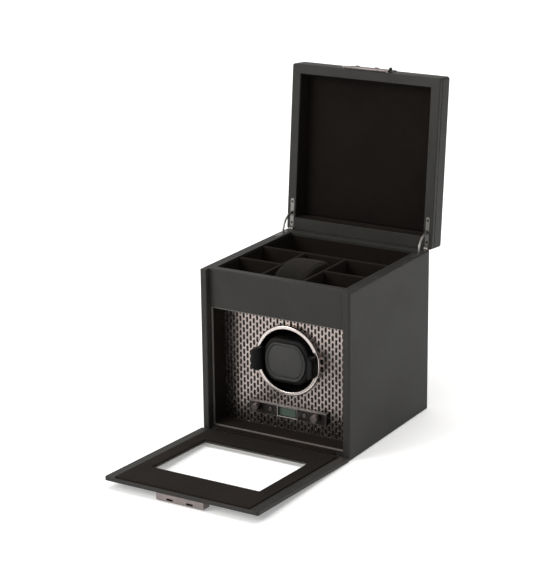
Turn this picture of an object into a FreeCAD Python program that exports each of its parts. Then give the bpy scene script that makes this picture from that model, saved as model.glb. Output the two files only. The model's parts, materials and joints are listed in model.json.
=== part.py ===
import FreeCAD, Part
import math
import os
import re

import Sketcher

V = FreeCAD.Vector

# Watch winder box with a hinged storage lid and a drop-down glazed front.
# Origin: centre of the base pad's underside.  +Z up, -Y towards the front.
# Lengths in millimetres.  Lid and front are drawn closed and then turned
# about their hinge axes to the open pose, which is the rest pose.

doc = FreeCAD.newDocument("watch_winder_box")
sheet = doc.addObject("Spreadsheet::Sheet", "Dims")

SIZES = [
    ("half_width", "102", "half of the case width"),
    ("half_depth", "102", "half of the case depth, side panel edge to back"),
    ("wall_top", "206.9", "top of the case walls"),
    ("foot", "1.0", "thickness of the base pad"),
    ("cheek", "9", "side panel thickness"),
    ("back_thick", "8", "back panel thickness"),
    ("base_top", "6.5", "top of the base board"),
    ("fascia_front", "94.4", "fascia front face, in front of the centre"),
    ("fascia_thick", "6", "fascia board thickness"),
    ("fascia_low", "158.6", "lower edge of the fascia"),
    ("shelf_top", "163", "top of the shelf under the tray"),
    ("trim_front", "91.4", "front of the chamber trim"),
    ("trim_deep", "1.2", "depth of the chamber trim"),
    ("liner_wall", "1.6", "thickness of the chamber liner"),
    ("plate_front", "65.3", "front of the perforated plate"),
    ("plate_thick", "1.2", "thickness of the perforated plate"),
    ("backing_thick", "2.8", "board behind the perforated plate"),
    ("drum_height", "98.2", "height of the drum axis"),
    ("drum_hole", "43", "radius of the hole round the drum"),
    ("ring_out", "44.5", "outer radius of the drum ring"),
    ("ring_in", "39.4", "inner radius of the drum ring"),
    ("ring_front", "71.2", "front of the drum ring"),
    ("cup_out", "42", "outer radius of the drum cup"),
    ("cup_front", "65.9", "front edge of the drum cup"),
    ("cup_back", "25", "back of the drum cup"),
    ("shaft_rad", "4", "radius of the drum shaft"),
    ("run_gap", "0.05", "running clearance of round fits"),
    ("gear_module", "1.5", "gear module"),
    ("gear_teeth", "36", "teeth of the drum gear"),
    ("pinion_teeth", "12", "teeth of the motor pinion"),
    ("strip_half", "53.6", "half of the control strip length"),
    ("strip_front", "71.4", "front of the control strip"),
    ("strip_low", "25.2", "lower edge of the control strip"),
    ("strip_high", "39.4", "upper edge of the control strip"),
    ("knob_x", "41.3", "knob position across"),
    ("knob_z", "34.4", "knob height"),
    ("knob_rad", "4.85", "knob radius"),
    ("knob_front", "81.0", "front face of the knobs"),
    ("button_x", "24", "push button position across"),
    ("button_z", "32.8", "push button height"),
    ("button_rad", "2.75", "push button radius"),
    ("lamp_x", "16.3", "indicator position across"),
    ("lamp_rad", "1.4", "indicator radius"),
    ("lcd_half", "11.8", "half of the display width"),
    ("lcd_low", "28.4", "lower edge of the display"),
    ("lcd_high", "38.0", "upper edge of the display"),
    ("cuff_front", "73.6", "front of the cuff body"),
    ("pad_front", "76.2", "front of the cuff pad"),
    ("lug_front", "86.7", "front of the cuff end caps"),
    ("lug_out", "43.2", "outer end of the cuff end caps"),
    ("lug_half", "14.2", "half of the end cap height"),
    ("tray_half", "88.5", "half of the inner tray width"),
    ("tray_front", "84.6", "inner front of the tray"),
    ("tray_back", "89.5", "inner back of the tray"),
    ("divider_top", "205.6", "top of the dividers"),
    ("divider_thick", "3", "divider thickness"),
    ("column_x", "28.5", "column divider position across"),
    ("cross_y", "33", "cross divider position"),
    ("rear_y", "22.1", "rear divider position"),
    ("pivot_y", "103.9", "lid hinge axis behind the centre"),
    ("pivot_z", "207.2", "lid hinge axis height, the closed rim plane"),
    ("lid_open", "95", "opening angle of the lid"),
    ("lid_back", "105.0", "back of the closed lid"),
    ("lid_half", "103.0", "half width of the lid"),
    ("lid_front", "106.3", "front of the closed lid"),
    ("rim_thick", "7", "thickness of the lid rim"),
    ("lid_thick", "26.9", "thickness of the lid"),
    ("recess_half", "91.3", "half of the lid recess width"),
    ("recess_front", "94.6", "front of the lid recess"),
    ("recess_back", "89.2", "back of the lid recess"),
    ("recess_deep", "22.2", "depth of the lid recess"),
    ("leaf_in", "93.4", "inner edge of the hinge leaves"),
    ("leaf_out", "98.6", "outer edge of the hinge leaves"),
    ("leaf_long", "39.2", "hinge leaf length from the axis"),
    ("leaf_thick", "1.6", "hinge leaf thickness"),
    ("knuckle_rad", "2.2", "lid hinge knuckle radius"),
    ("lid_pin_rad", "1.0", "lid hinge pin radius"),
    ("stay_rad", "20.4", "mean radius of the quadrant stay"),
    ("stay_wide", "2.4", "radial width of the stay"),
    ("stay_thick", "1.6", "thickness of the stay"),
    ("front_open", "87.3", "opening angle of the front"),
    ("front_pivot_y", "104.7", "front hinge axis, in front of the centre"),
    ("front_pivot_z", "2.8", "front hinge axis height"),
    ("frame_half", "102.2", "half of the front frame width"),
    ("frame_outer", "107.1", "outer face of the closed front"),
    ("frame_inner", "102.3", "inner face of the closed front"),
    ("frame_low", "0.4", "hinge edge of the closed front"),
    ("frame_high", "206.2", "free edge of the closed front"),
    ("window_half", "72", "half of the window width"),
    ("window_low", "42.3", "lower edge of the window"),
    ("window_high", "153.5", "upper edge of the window"),
    ("lining_half", "90", "half of the front lining width"),
    ("lining_inner", "100.7", "inner face of the front lining"),
    ("strike_half", "31.5", "half of the strike length"),
    ("strike_front", "116.3", "front of the closed strike"),
    ("strike_low", "193", "lower edge of the closed strike"),
    ("strike_high", "205.7", "upper edge of the closed strike"),
    ("slot_x", "13.3", "strike slot position across"),
    ("slot_half", "4.4", "half of the strike slot length"),
    ("slot_y", "112.7", "strike slot position"),
    ("slot_wide", "2.5", "strike slot width"),
    ("flap_axis_y", "108.3", "latch flap axis on the closed lid"),
    ("flap_axis_z", "207.6", "latch flap axis height on the closed lid"),
]
ALIAS = set()
for row, (alias, value, note) in enumerate(SIZES, 1):
    sheet.set("A%d" % row, note)
    sheet.set("B%d" % row, value)
    sheet.setAlias("B%d" % row, alias)
    ALIAS.add(alias)
doc.recompute()


def bind(text):
    return re.sub(r"[a-z_]+[a-z_0-9]*", lambda m: "Dims." + m.group(0) if m.group(0) in ALIAS else m.group(0), str(text))


def num(text):
    """Value of a sum or product of sheet aliases and numbers."""
    tokens = re.findall(r"[a-z_]+[a-z_0-9]*|\d+\.?\d*|[-+*/()]", str(text))
    place = [0]

    def atom():
        token = tokens[place[0]]
        place[0] += 1
        if token == "(":
            value = total()
            place[0] += 1
            return value
        if token == "-":
            return -atom()
        if token == "+":
            return atom()
        if token in ALIAS:
            return float(sheet.get(token))
        return float(token)

    def product():
        value = atom()
        while place[0] < len(tokens) and tokens[place[0]] in "*/":
            sign = tokens[place[0]]
            place[0] += 1
            other = atom()
            value = value * other if sign == "*" else value / other
        return value

    def total():
        value = product()
        while place[0] < len(tokens) and tokens[place[0]] in "+-":
            sign = tokens[place[0]]
            place[0] += 1
            other = product()
            value = value + other if sign == "+" else value - other
        return value

    return total()


FINAL = []


def node(obj, label, placement=None):
    """Mark an object as a sub-part, with its own label and place."""
    obj.Label = label
    if placement is not None:
        obj.Placement = placement
    FINAL.append((label, obj))
    return obj


serial = [0]


def name(stem):
    serial[0] += 1
    return "%s_%03d" % (stem, serial[0])


def box(x0, x1, y0, y1, z0, z1):
    b = doc.addObject("Part::Box", name("box"))
    for prop, lo, hi in (("Length", x0, x1), ("Width", y0, y1), ("Height", z0, z1)):
        b.setExpression(prop, bind("(%s)-(%s)" % (hi, lo)))
    for axis, lo in zip("xyz", (x0, y0, z0)):
        b.setExpression("Placement.Base." + axis, bind("(%s)*1" % lo))
    return b


TURN = {"x": FreeCAD.Rotation(V(0, 1, 0), 90), "y": FreeCAD.Rotation(V(1, 0, 0), -90), "z": FreeCAD.Rotation()}


def cyl(axis, x, y, z, radius, length):
    c = doc.addObject("Part::Cylinder", name("cyl"))
    c.Placement = FreeCAD.Placement(V(0, 0, 0), TURN[axis])
    c.setExpression("Radius", bind("(%s)*1" % radius))
    c.setExpression("Height", bind("(%s)*1" % length))
    for k, at in zip("xyz", (x, y, z)):
        c.setExpression("Placement.Base." + k, bind("(%s)*1" % at))
    return c


def fuse(*shapes):
    f = doc.addObject("Part::MultiFuse", name("fuse"))
    f.Shapes = list(shapes)
    return f


def cut(base, *tools):
    c = doc.addObject("Part::Cut", name("cut"))
    c.Base = base
    c.Tool = tools[0] if len(tools) == 1 else group(*tools)
    return c


def group(*shapes):
    g = doc.addObject("Part::Compound", name("group"))
    g.Links = list(shapes)
    return g


def common(*shapes):
    c = doc.addObject("Part::MultiCommon", name("common"))
    c.Shapes = list(shapes)
    return c


def fillet(base, *rules):
    doc.recompute()
    rows = []
    for i, e in enumerate(base.Shape.Edges, 1):
        a, b = e.Vertexes[0].Point, e.Vertexes[-1].Point
        for test, radius in rules:
            if test(a, b):
                rows.append((i, radius, radius))
                break
    f = doc.addObject("Part::Fillet", name("fillet"))
    f.Base = base
    f.Edges = rows
    doc.recompute()
    return f


def near(p, q):
    return abs(p - q) < 1e-4


def along(axis):
    others = [k for k in "xyz" if k != axis]
    return lambda a, b: all(near(getattr(a, k), getattr(b, k)) for k in others)


def at(**where):
    return lambda a, b: all(near(getattr(a, k), v) and near(getattr(b, k), v) for k, v in where.items())


def both(*tests):
    return lambda a, b: all(t(a, b) for t in tests)


def either(*tests):
    return lambda a, b: any(t(a, b) for t in tests)


def body(label):
    b = doc.addObject("PartDesign::Body", label)
    return b


def sketch(b, role, offset, loops):
    """Closed loops on one of the body's own planes, every size bound to the sheet."""
    sk = b.newObject("Sketcher::SketchObject", name("sketch"))
    plane = [f for f in b.Origin.OriginFeatures if f.Role == role][0]
    sk.AttachmentSupport = (plane, [""])
    sk.MapMode = "FlatFace"
    if offset:
        sk.setExpression("AttachmentOffset.Base.z", bind("(%s)*1" % offset))
    for loop in loops:
        if loop[0] == "circle":
            x, y, r = loop[1:]
            g = sk.addGeometry(Part.Circle(V(num(x), num(y), 0), V(0, 0, 1), num(r)))
            n = sk.addConstraint(Sketcher.Constraint("Radius", g, num(r)))
            sk.setExpression("Constraints[%d]" % n, bind("(%s)*1" % r))
            place_point(sk, g, 3, x, y)
        else:
            pts = loop[1]
            ids = []
            for i, p in enumerate(pts):
                q = pts[(i + 1) % len(pts)]
                ids.append(sk.addGeometry(Part.LineSegment(V(num(p[0]), num(p[1]), 0), V(num(q[0]), num(q[1]), 0))))
            for i, g in enumerate(ids):
                sk.addConstraint(Sketcher.Constraint("Coincident", g, 2, ids[(i + 1) % len(ids)], 1))
            for g, p in zip(ids, pts):
                place_point(sk, g, 1, p[0], p[1])
    return sk


def place_point(sk, g, vertex, x, y):
    for kind, axis, text in (("DistanceX", -2, x), ("DistanceY", -1, y)):
        value = num(text)
        if abs(value) < 1e-9:
            if vertex == 3 and abs(num(x)) < 1e-9 and abs(num(y)) < 1e-9:
                if kind == "DistanceX":
                    sk.addConstraint(Sketcher.Constraint("Coincident", g, 3, -1, 1))
            else:
                sk.addConstraint(Sketcher.Constraint("PointOnObject", g, vertex, axis))
        else:
            n = sk.addConstraint(Sketcher.Constraint(kind, -1, 1, g, vertex, value))
            sk.setExpression("Constraints[%d]" % n, bind("(%s)*1" % text))


def rect(x0, x1, y0, y1):
    return ("poly", [(x0, y0), (x1, y0), (x1, y1), (x0, y1)])


def pad(b, sk, length, reverse=False):
    p = b.newObject("PartDesign::Pad", name("pad"))
    p.Profile = sk
    p.setExpression("Length", bind("(%s)*1" % length))
    p.Reversed = reverse
    doc.recompute()
    return p


def pocket(b, sk, length, reverse=False):
    before = b.Shape.Volume
    p = b.newObject("PartDesign::Pocket", name("pocket"))
    p.Profile = sk
    p.setExpression("Length", bind("(%s)*1" % length))
    p.Reversed = reverse
    doc.recompute()
    if not b.Shape.Volume < before - 1e-3:
        raise RuntimeError("a pocket cut nothing in " + b.Name)
    return p


def spin(b, sk, axis="H_Axis"):
    r = b.newObject("PartDesign::Revolution", name("turn"))
    r.Profile = sk
    r.ReferenceAxis = (sk, [axis])
    r.Angle = 360
    doc.recompute()
    return r


def soften(b, feature, radius, test):
    names = []
    for i, e in enumerate(feature.Shape.Edges, 1):
        if test(e.Vertexes[0].Point, e.Vertexes[-1].Point):
            names.append("Edge%d" % i)
    f = b.newObject("PartDesign::Fillet", name("soft"))
    f.Base = (feature, names)
    f.Radius = radius
    doc.recompute()
    return f


def turned(axis_y, axis_z, angle):
    """Placement that turns a closed piece about an X axis to its open pose."""
    rot = FreeCAD.Rotation(V(1, 0, 0), angle)
    centre = V(0, axis_y, axis_z)
    return FreeCAD.Placement(centre - rot.multVec(centre), rot)


LID = turned(num("pivot_y"), num("pivot_z"), -num("lid_open"))
FRONT = turned(-num("front_pivot_y"), num("front_pivot_z"), num("front_open"))

IN = "(half_width-cheek)"

# ---------------------------------------------------------------- case boards
# Mortise for the quadrant stay, leaf recess and screw holes, on each side.


def mortise(side, z0, z1):
    s = "" if side > 0 else "-"
    x0, x1 = ("(leaf_in+leaf_out)/2-stay_thick/2-0.3", "(leaf_in+leaf_out)/2+stay_thick/2+0.3")
    if side < 0:
        x0, x1 = "-(%s)" % x1, "-(%s)" % x0
    return box(x0, x1, "pivot_y-stay_rad-3.6", "pivot_y-stay_rad+14", z0, z1)


def leaf_recess(side, z0, z1, y1):
    x0, x1 = ("leaf_in", "leaf_out") if side > 0 else ("-leaf_out", "-leaf_in")
    return box(x0, x1, "pivot_y-leaf_long", y1, z0, z1)


def leaf_mid(side):
    return "(leaf_in+leaf_out)/2" if side > 0 else "-(leaf_in+leaf_out)/2"


SCREW_T = ("35", "8")

for side, label in ((-1, "left_side_panel"), (1, "right_side_panel")):
    x0, x1 = (IN, "half_width") if side > 0 else ("-half_width", "-" + IN)
    board = box(x0, x1, "-half_depth", "half_depth", "foot", "wall_top")
    outer = side * num("half_width")
    top = num("wall_top")
    rounded = fillet(
        board,
        (both(along("z"), at(x=outer)), 2.6),
        (both(along("y"), at(x=outer, z=top)), 1.6),
        (both(along("z"), at(x=side * num(IN), y=-num("half_depth"))), 1.2),
        (both(along("y"), at(x=side * num(IN), z=top)), 0.6),
    )
    holes = [cyl("z", leaf_mid(side), "pivot_y-%s" % t, "wall_top-9", 0.9, 9) for t in SCREW_T]
    kx0, kx1 = ("leaf_in-0.5", "leaf_out+0.4") if side > 0 else ("-leaf_out-0.4", "0.5-leaf_in")
    knuckle_notch = box(kx0, kx1, "pivot_y-2.6", "half_depth+1", "wall_top-2.6", "wall_top+1")
    node(
        cut(
            rounded,
            mortise(side, "wall_top-20", "wall_top+1"),
            leaf_recess(side, "wall_top-leaf_thick", "wall_top+1", "half_depth+1"),
            knuckle_notch,
            *holes
        ),
        label,
    )

# Back board with a service window, a rebate for its cover and the inlet hole.
back = fillet(
    box("-" + IN, IN, "half_depth-back_thick", "half_depth", "foot", "wall_top"),
    (both(along("x"), at(y=num("half_depth"), z=num("wall_top"))), 1.6),
)
COVER = [("52", "48.5"), ("-52", "48.5"), ("52", "141.5"), ("-52", "141.5")]
node(
    cut(
        back,
        box(-48, 48, "half_depth-back_thick-1", "half_depth+1", 52, 138),
        box(-56.2, 56.2, "half_depth-1.8", "half_depth+1", 43.8, 146.2),
        cyl("y", 70, "half_depth-back_thick-1", 24, 4, "back_thick+2"),
        *[cyl("y", x, "half_depth-7.5", z, 1.2, 8) for x, z in COVER]
    ),
    "back_panel",
)

node(box("-" + IN, IN, -97, "half_depth-back_thick", "foot", "base_top"), "base_panel")
node(
    fillet(box(-96, 96, -95, 96, 0, "foot"), (along("z"), 6)),
    "base_pad",
)

# Fascia board over the chamber.
fascia = body("front_fascia")
f_pad = pad(fascia, sketch(fascia, "XZ_Plane", "fascia_front-fascia_thick", [rect("-" + IN, IN, "fascia_low", "wall_top")]), "fascia_thick")
soften(
    fascia,
    f_pad,
    1.2,
    lambda a, b: near(a.y, -num("fascia_front")) and near(b.y, -num("fascia_front")) and near(a.z, b.z),
)
node(fascia, "front_fascia")

node(box("-" + IN, IN, "fascia_thick-fascia_front", "half_depth-back_thick", "fascia_low", "shelf_top"), "storage_shelf")

# Thin bright frame round the mouth of the winding chamber.
trim = body("chamber_trim")
pad(
    trim,
    sketch(
        trim,
        "XZ_Plane",
        "trim_front-trim_deep",
        [
            rect("-" + IN, IN, "base_top", "fascia_low"),
            rect("-%s+liner_wall" % IN, IN + "-liner_wall", "base_top+liner_wall", "fascia_low-liner_wall"),
        ],
    ),
    "trim_deep",
)
node(trim, "chamber_trim")

# Dark liner tube of the chamber.
LX, LZ0, LZ1 = IN + "-liner_wall", "base_top+liner_wall", "fascia_low-liner_wall"
node(
    cut(
        box("-" + IN, IN, "trim_deep-trim_front", -60.8, "base_top", "fascia_low"),
        box("-(%s)" % LX, LX, -95, -55, LZ0, LZ1),
    ),
    "chamber_liner",
)

CONTROL_WINDOW = ("-50", "50", "28.5", "38.5")


def plate_cut(front, deep):
    y0, y1 = "-(%s)-1" % front, "-(%s)+(%s)+1" % (front, deep)
    return [
        cyl("y", 0, y0, "drum_height", "drum_hole", "(%s)+2" % deep),
        box(CONTROL_WINDOW[0], CONTROL_WINDOW[1], y0, y1, CONTROL_WINDOW[2], CONTROL_WINDOW[3]),
    ]


node(
    cut(box("-(%s)" % LX, LX, "-plate_front", "plate_thick-plate_front", LZ0, LZ1), *plate_cut("plate_front", "plate_thick")),
    "face_plate",
)
node(
    cut(
        box("-(%s)" % LX, LX, "plate_thick-plate_front", "plate_thick+backing_thick-plate_front", LZ0, LZ1),
        *plate_cut("plate_front-plate_thick", "backing_thick")
    ),
    "plate_backing",
)

# ------------------------------------------------------------- control strip
panel = body("control_panel")
strip_pad = pad(
    panel,
    sketch(panel, "XZ_Plane", "plate_front", [rect("-strip_half", "strip_half", "strip_low", "strip_high")]),
    "strip_front-plate_front",
)
strip_soft = soften(panel, strip_pad, 1.2, lambda a, b: near(a.x, b.x) and near(a.z, b.z))
HOLES = []
for sgn in ("", "-"):
    HOLES += [
        ("circle", sgn + "knob_x", "knob_z", "2.4"),
        ("circle", sgn + "button_x", "button_z", "button_rad+run_gap"),
        ("circle", sgn + "lamp_x", "button_z", "lamp_rad"),
    ]
pocket(panel, sketch(panel, "XZ_Plane", "plate_front", HOLES), "strip_front-plate_front+1", True)
BORES = [("circle", sgn + "button_x", "button_z", "3.7") for sgn in ("", "-")]
pocket(panel, sketch(panel, "XZ_Plane", "plate_front", BORES), "1.6", True)
pocket(
    panel,
    sketch(panel, "XZ_Plane", "strip_front", [rect("-lcd_half-0.3", "lcd_half+0.3", "lcd_low-0.2", "lcd_high+0.2")]),
    "3",
)
node(panel, "control_panel")

bezel = body("lcd_bezel")
pad(
    bezel,
    sketch(
        bezel,
        "XZ_Plane",
        "strip_front",
        [rect("-lcd_half-2.2", "lcd_half+2.2", "lcd_low-2", "lcd_high+1"), rect("-lcd_half", "lcd_half", "lcd_low", "lcd_high")],
    ),
    "0.7",
)
node(bezel, "lcd_bezel")
node(box("-lcd_half-0.2", "lcd_half+0.2", "0.2-strip_front", "2.9-strip_front", "lcd_low-0.1", "lcd_high+0.1"), "lcd_display")

node(
    group(*[
        cut(
            box("%s-5" % x, "%s+5" % x, -65.2, -58.2, 30, 38.2),
            cyl("y", x, -66, "knob_z", "2+run_gap", 6.5),
        )
        for x in ("knob_x", "(-knob_x)")
    ]),
    "rotary_encoders",
)
node(
    group(*[cyl("y", x, -71.9, "button_z", "lamp_rad", 5.9) for x in ("lamp_x", "-lamp_x")]),
    "led_lenses",
)
switches = [box("%s-3" % x, "%s+3" % x, -64.9, -58.2, "button_z-3", "button_z+3") for x in ("button_x", "(-button_x)")]
posts = [cyl("y", x, "-plate_front", 33.5, 2.5, "plate_front-58.2") for x in (33, -33)]
node(fuse(box(-52, 52, -58.2, -56.6, 24, 44), *(switches + posts)), "control_board")

# Knobs: turned body with a waist, a flat face and a ring of finger grooves.
for sgn, label in (("-", "left_knob"), ("", "right_knob")):
    knob = body(label)
    turn = spin(
        knob,
        sketch(
            knob,
            "YZ_Plane",
            "",
            [("poly", [
                ("-knob_front", "0"),
                ("-knob_front", "knob_rad-0.7"),
                ("0.7-knob_front", "knob_rad"),
                ("-74.4", "knob_rad"),
                ("-73.4", "knob_rad-1.2"),
                ("-72.0", "knob_rad-1.2"),
                ("-72.0", "2"),
                ("-60", "2"),
                ("-60", "0"),
            ])],
        ),
    )
    groove = pocket(knob, sketch(knob, "XZ_Plane", "knob_front-2", [("circle", "0", "knob_rad+0.35", "0.6")]), "8")
    ring = knob.newObject("PartDesign::PolarPattern", name("ring"))
    ring.Originals = [groove]
    ring.Axis = ([f for f in knob.Origin.OriginFeatures if f.Role == "Y_Axis"][0], [""])
    ring.Angle = 360
    ring.Occurrences = 20
    knob.Tip = ring
    doc.recompute()
    knob.setExpression("Placement.Base.x", bind(sgn + "knob_x*1"))
    knob.setExpression("Placement.Base.z", bind("knob_z*1"))
    node(knob, label)

# Push buttons with a shoulder behind the strip.
for sgn, label in (("-", "left_button"), ("", "right_button")):
    button = body(label)
    spin(
        button,
        sketch(
            button,
            "YZ_Plane",
            "",
            [("poly", [
                ("-72.9", "0"),
                ("-72.9", "button_rad-0.5"),
                ("-72.4", "button_rad"),
                ("-66.8", "button_rad"),
                ("-66.8", "3.4"),
                ("-66.0", "3.4"),
                ("-66.0", "0"),
            ])],
        ),
    )
    button.setExpression("Placement.Base.x", bind(sgn + "button_x*1"))
    button.setExpression("Placement.Base.z", bind("button_z*1"))
    node(button, label)

# ---------------------------------------------------------------------- drum
ring_body = body("drum_ring")
spin(
    ring_body,
    sketch(
        ring_body,
        "YZ_Plane",
        "",
        [("poly", [
            ("-cup_front", "ring_in"),
            ("-cup_front", "ring_out"),
            ("1.6-ring_front", "ring_out"),
            ("0.5-ring_front", "ring_out-0.6"),
            ("-ring_front", "ring_out-1.7"),
            ("-ring_front", "ring_in+1.4"),
            ("0.9-ring_front", "ring_in"),
        ])],
    ),
)
ring_body.setExpression("Placement.Base.z", bind("drum_height*1"))
node(ring_body, "drum_ring")

cup = body("drum_cup")
spin(
    cup,
    sketch(
        cup,
        "YZ_Plane",
        "",
        [("poly", [
            ("-cup_front", "ring_in"),
            ("-cup_back-3", "ring_in"),
            ("-cup_back-3", "0"),
            ("-cup_back", "0"),
            ("-cup_back", "cup_out"),
            ("-cup_front", "cup_out"),
        ])],
    ),
)
cup.setExpression("Placement.Base.z", bind("drum_height*1"))
node(cup, "drum_cup")


def gear_wire(module, teeth, thin, phase, y):
    """Involute spur outline about the Y axis, teeth thinned for backlash."""
    pitch = module * teeth / 2.0
    base = pitch * math.cos(math.radians(20))
    tip = pitch + 0.92 * module
    root = pitch - 1.2 * module

    def inv(r):
        if r <= base:
            return 0.0
        a = math.acos(base / r)
        return math.tan(a) - a

    half = math.pi / (2 * teeth) - thin / pitch / 2.0
    ref = inv(pitch)
    radii = [max(base, root + 0.05), pitch - 0.35 * module, pitch + 0.35 * module, tip]
    pts = []
    for k in range(int(teeth)):
        mid = phase + 2 * math.pi * k / teeth
        flank = [(r, half + ref - inv(r)) for r in radii]
        lead = [(root, flank[0][1] + 0.02)] + flank
        for r, a in lead:
            pts.append((r, mid - a))
        for r, a in reversed(lead):
            pts.append((r, mid + a))
    out = [V(r * math.cos(a), y, r * math.sin(a)) for r, a in pts]
    return Part.makePolygon(out + [out[0]])


# Gear on the drum shaft; one tooth points straight down at the pinion.
MODULE, TEETH, PINION = num("gear_module"), num("gear_teeth"), num("pinion_teeth")
gear_face = Part.Face([gear_wire(MODULE, TEETH, 0.16, -math.pi / 2, -21.0), Part.Wire(Part.makeCircle(num("shaft_rad"), V(0, -21, 0), V(0, 1, 0)))])
gear = doc.addObject("Part::Feature", "drum_gear_solid")
gear.Shape = gear_face.extrude(V(0, 7, 0))
gear.Placement = FreeCAD.Placement(V(0, 0, num("drum_height")), FreeCAD.Rotation())
node(gear, "drum_gear")

CENTRES = MODULE * (TEETH + PINION) / 2.0
pinion_z = num("drum_height") - CENTRES
pinion_disc = Part.Face(gear_wire(MODULE, PINION, 0.16, math.pi / 2 + math.pi / PINION, -21.6)).extrude(V(0, 8.2, 0))
pinion_shaft = Part.makeCylinder(2.5, 10.0, V(0, -13.4, 0), V(0, 1, 0))
pinion = doc.addObject("Part::Feature", "motor_pinion_solid")
pinion.Shape = pinion_disc.fuse(pinion_shaft).removeSplitter()
pinion.Placement = FreeCAD.Placement(V(0, 0, pinion_z), FreeCAD.Rotation())
node(pinion, "motor_pinion")

node(cyl("y", 0, "-cup_back", "drum_height", "shaft_rad", "cup_back+1"), "drum_shaft")
MOTOR_Z = "(drum_height-gear_module*(gear_teeth+pinion_teeth)/2)"
node(
    cut(
        fuse(box(-40, 40, -9, -3, "base_top", 122), box(-40, 40, -3, 25, "base_top", "base_top+3.5")),
        cyl("y", 0, -10, "drum_height", 8, 8),
        cyl("y", 0, -10, MOTOR_Z, 6, 8),
    ),
    "motor_mount",
)
node(cut(cyl("y", 0, -9, "drum_height", 8, 6), cyl("y", 0, -10, "drum_height", "shaft_rad+run_gap", 8)), "drum_bearing")
node(
    cut(
        fuse(cyl("y", 0, -3, MOTOR_Z, 16, 36), cyl("y", 0, -9, MOTOR_Z, 6, 7)),
        cyl("y", 0, -10, MOTOR_Z, "2.5+run_gap", 7.2),
    ),
    "drive_motor",
)

# ---------------------------------------------------------------------- cuff


def barrel(half_x, half_z, bow, y0, y1):
    """Outline with flat top and bottom and bowed sides."""
    radius = "(%s)+%s" % (half_x, bow)
    length = "(%s)-(%s)" % (y1, y0)
    return common(
        cyl("y", bow, y0, "drum_height", radius, length),
        cyl("y", "-" + bow, y0, "drum_height", radius, length),
        box("-(%s)" % half_x, half_x, y0, y1, "drum_height-%s" % half_z, "drum_height+%s" % half_z),
    )


node(
    cut(
        barrel("33.2", "28", "3.6", "-cuff_front", -32),
        box(31.6, 40, -90, -20, "drum_height-20", "drum_height+20"),
        box(-40, -31.6, -90, -20, "drum_height-20", "drum_height+20"),
    ),
    "cuff_body",
)
node(barrel("28", "23.2", "0.2", "-pad_front", "-cuff_front"), "cuff_front_pad")
caps = []
for sgn in (1, -1):
    def span(a, b):
        return (a, b) if sgn > 0 else ("-(%s)" % b, "-(%s)" % a)
    head = box(*span("31.6", "lug_out"), "-lug_front", -72.0, "drum_height-lug_half", "drum_height+lug_half")
    edge = sgn * num("lug_out")
    head = fillet(head, (both(along("y"), at(x=edge)), 3.5), (both(along("z"), at(x=edge, y=-num("lug_front"))), 1.5))
    arm = box(*span("31.6", "36.6"), -73, -44, "drum_height-10.5", "drum_height+10.5")
    caps.append(fuse(head, arm))
node(group(*caps), "cuff_end_caps")

# ------------------------------------------------------ inlet and rear cover
node(
    cut(
        fuse(cyl("y", 70, "half_depth", 24, 5.6, 1.2), cyl("y", 70, "half_depth-16", 24, 4, 16)),
        cut(cyl("y", 70, "half_depth-8", 24, 2.8, 10), cyl("y", 70, "half_depth-9", 24, 1, 9)),
    ),
    "dc_inlet",
)
cover = body("rear_service_cover")
cover_pad = pad(cover, sketch(cover, "XZ_Plane", "1.8-half_depth", [rect("-56", "56", "44", "146")]), "1.6", True)
soften(cover, cover_pad, 4, lambda a, b: near(a.x, b.x) and near(a.z, b.z))
pocket(cover, sketch(cover, "XZ_Plane", "1.8-half_depth", [("circle", x, z, "1.2") for x, z in COVER]), "3", False)
node(cover, "rear_service_cover")
screws = []
for x, z in COVER:
    screw = fuse(cyl("y", x, "half_depth-0.2", z, 2.2, 1.0), cyl("y", x, "half_depth-7", z, 1.2, 6.9))
    screws.append(cut(screw, box("%s-1.6" % x, "%s+1.6" % x, "half_depth+0.35", "half_depth+2", "%s-0.3" % z, "%s+0.3" % z)))
node(group(*screws), "cover_screws")

# -------------------------------------------------------------- storage tray
TRAY_Y0, TRAY_Y1 = "fascia_thick-fascia_front", "half_depth-back_thick"
node(
    cut(
        box("-" + IN, IN, TRAY_Y0, TRAY_Y1, "wall_top-4", "wall_top"),
        box("-tray_half", "tray_half", "-tray_front", "tray_back", "wall_top-6", "wall_top+1"),
    ),
    "storage_rim",
)
node(
    cut(
        box("-" + IN, IN, TRAY_Y0, TRAY_Y1, "shelf_top", "wall_top-4"),
        box("-tray_half", "tray_half", "-tray_front", "tray_back", "shelf_top+2", "wall_top+1"),
    ),
    "storage_lining",
)
DZ = ("shelf_top+2", "divider_top")
node(box("-tray_half", "tray_half", "rear_y-divider_thick/2", "rear_y+divider_thick/2", *DZ), "rear_divider")
node(
    group(*[
        box("%s-divider_thick/2" % x, "%s+divider_thick/2" % x, "-tray_front", "rear_y-divider_thick/2", *DZ)
        for x in ("column_x", "(-column_x)")
    ]),
    "column_dividers",
)
node(
    group(
        box("-tray_half", "-column_x-divider_thick/2", "-cross_y-divider_thick/2", "divider_thick/2-cross_y", *DZ),
        box("column_x+divider_thick/2", "tray_half", "-cross_y-divider_thick/2", "divider_thick/2-cross_y", *DZ),
    ),
    "cross_dividers",
)
pillow = body("watch_pillow")
pillow_pad = pad(pillow, sketch(pillow, "XY_Plane", "shelf_top+2.2", [rect("-22.5", "22.5", "-71", "-2")]), "46")
soften(
    pillow,
    pillow_pad,
    13,
    lambda a, b: near(a.z, b.z) and a.z > 200 and near(a.y, b.y),
)
node(pillow, "watch_pillow")

# ---------------------------------------------------------------- lid hinges


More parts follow.
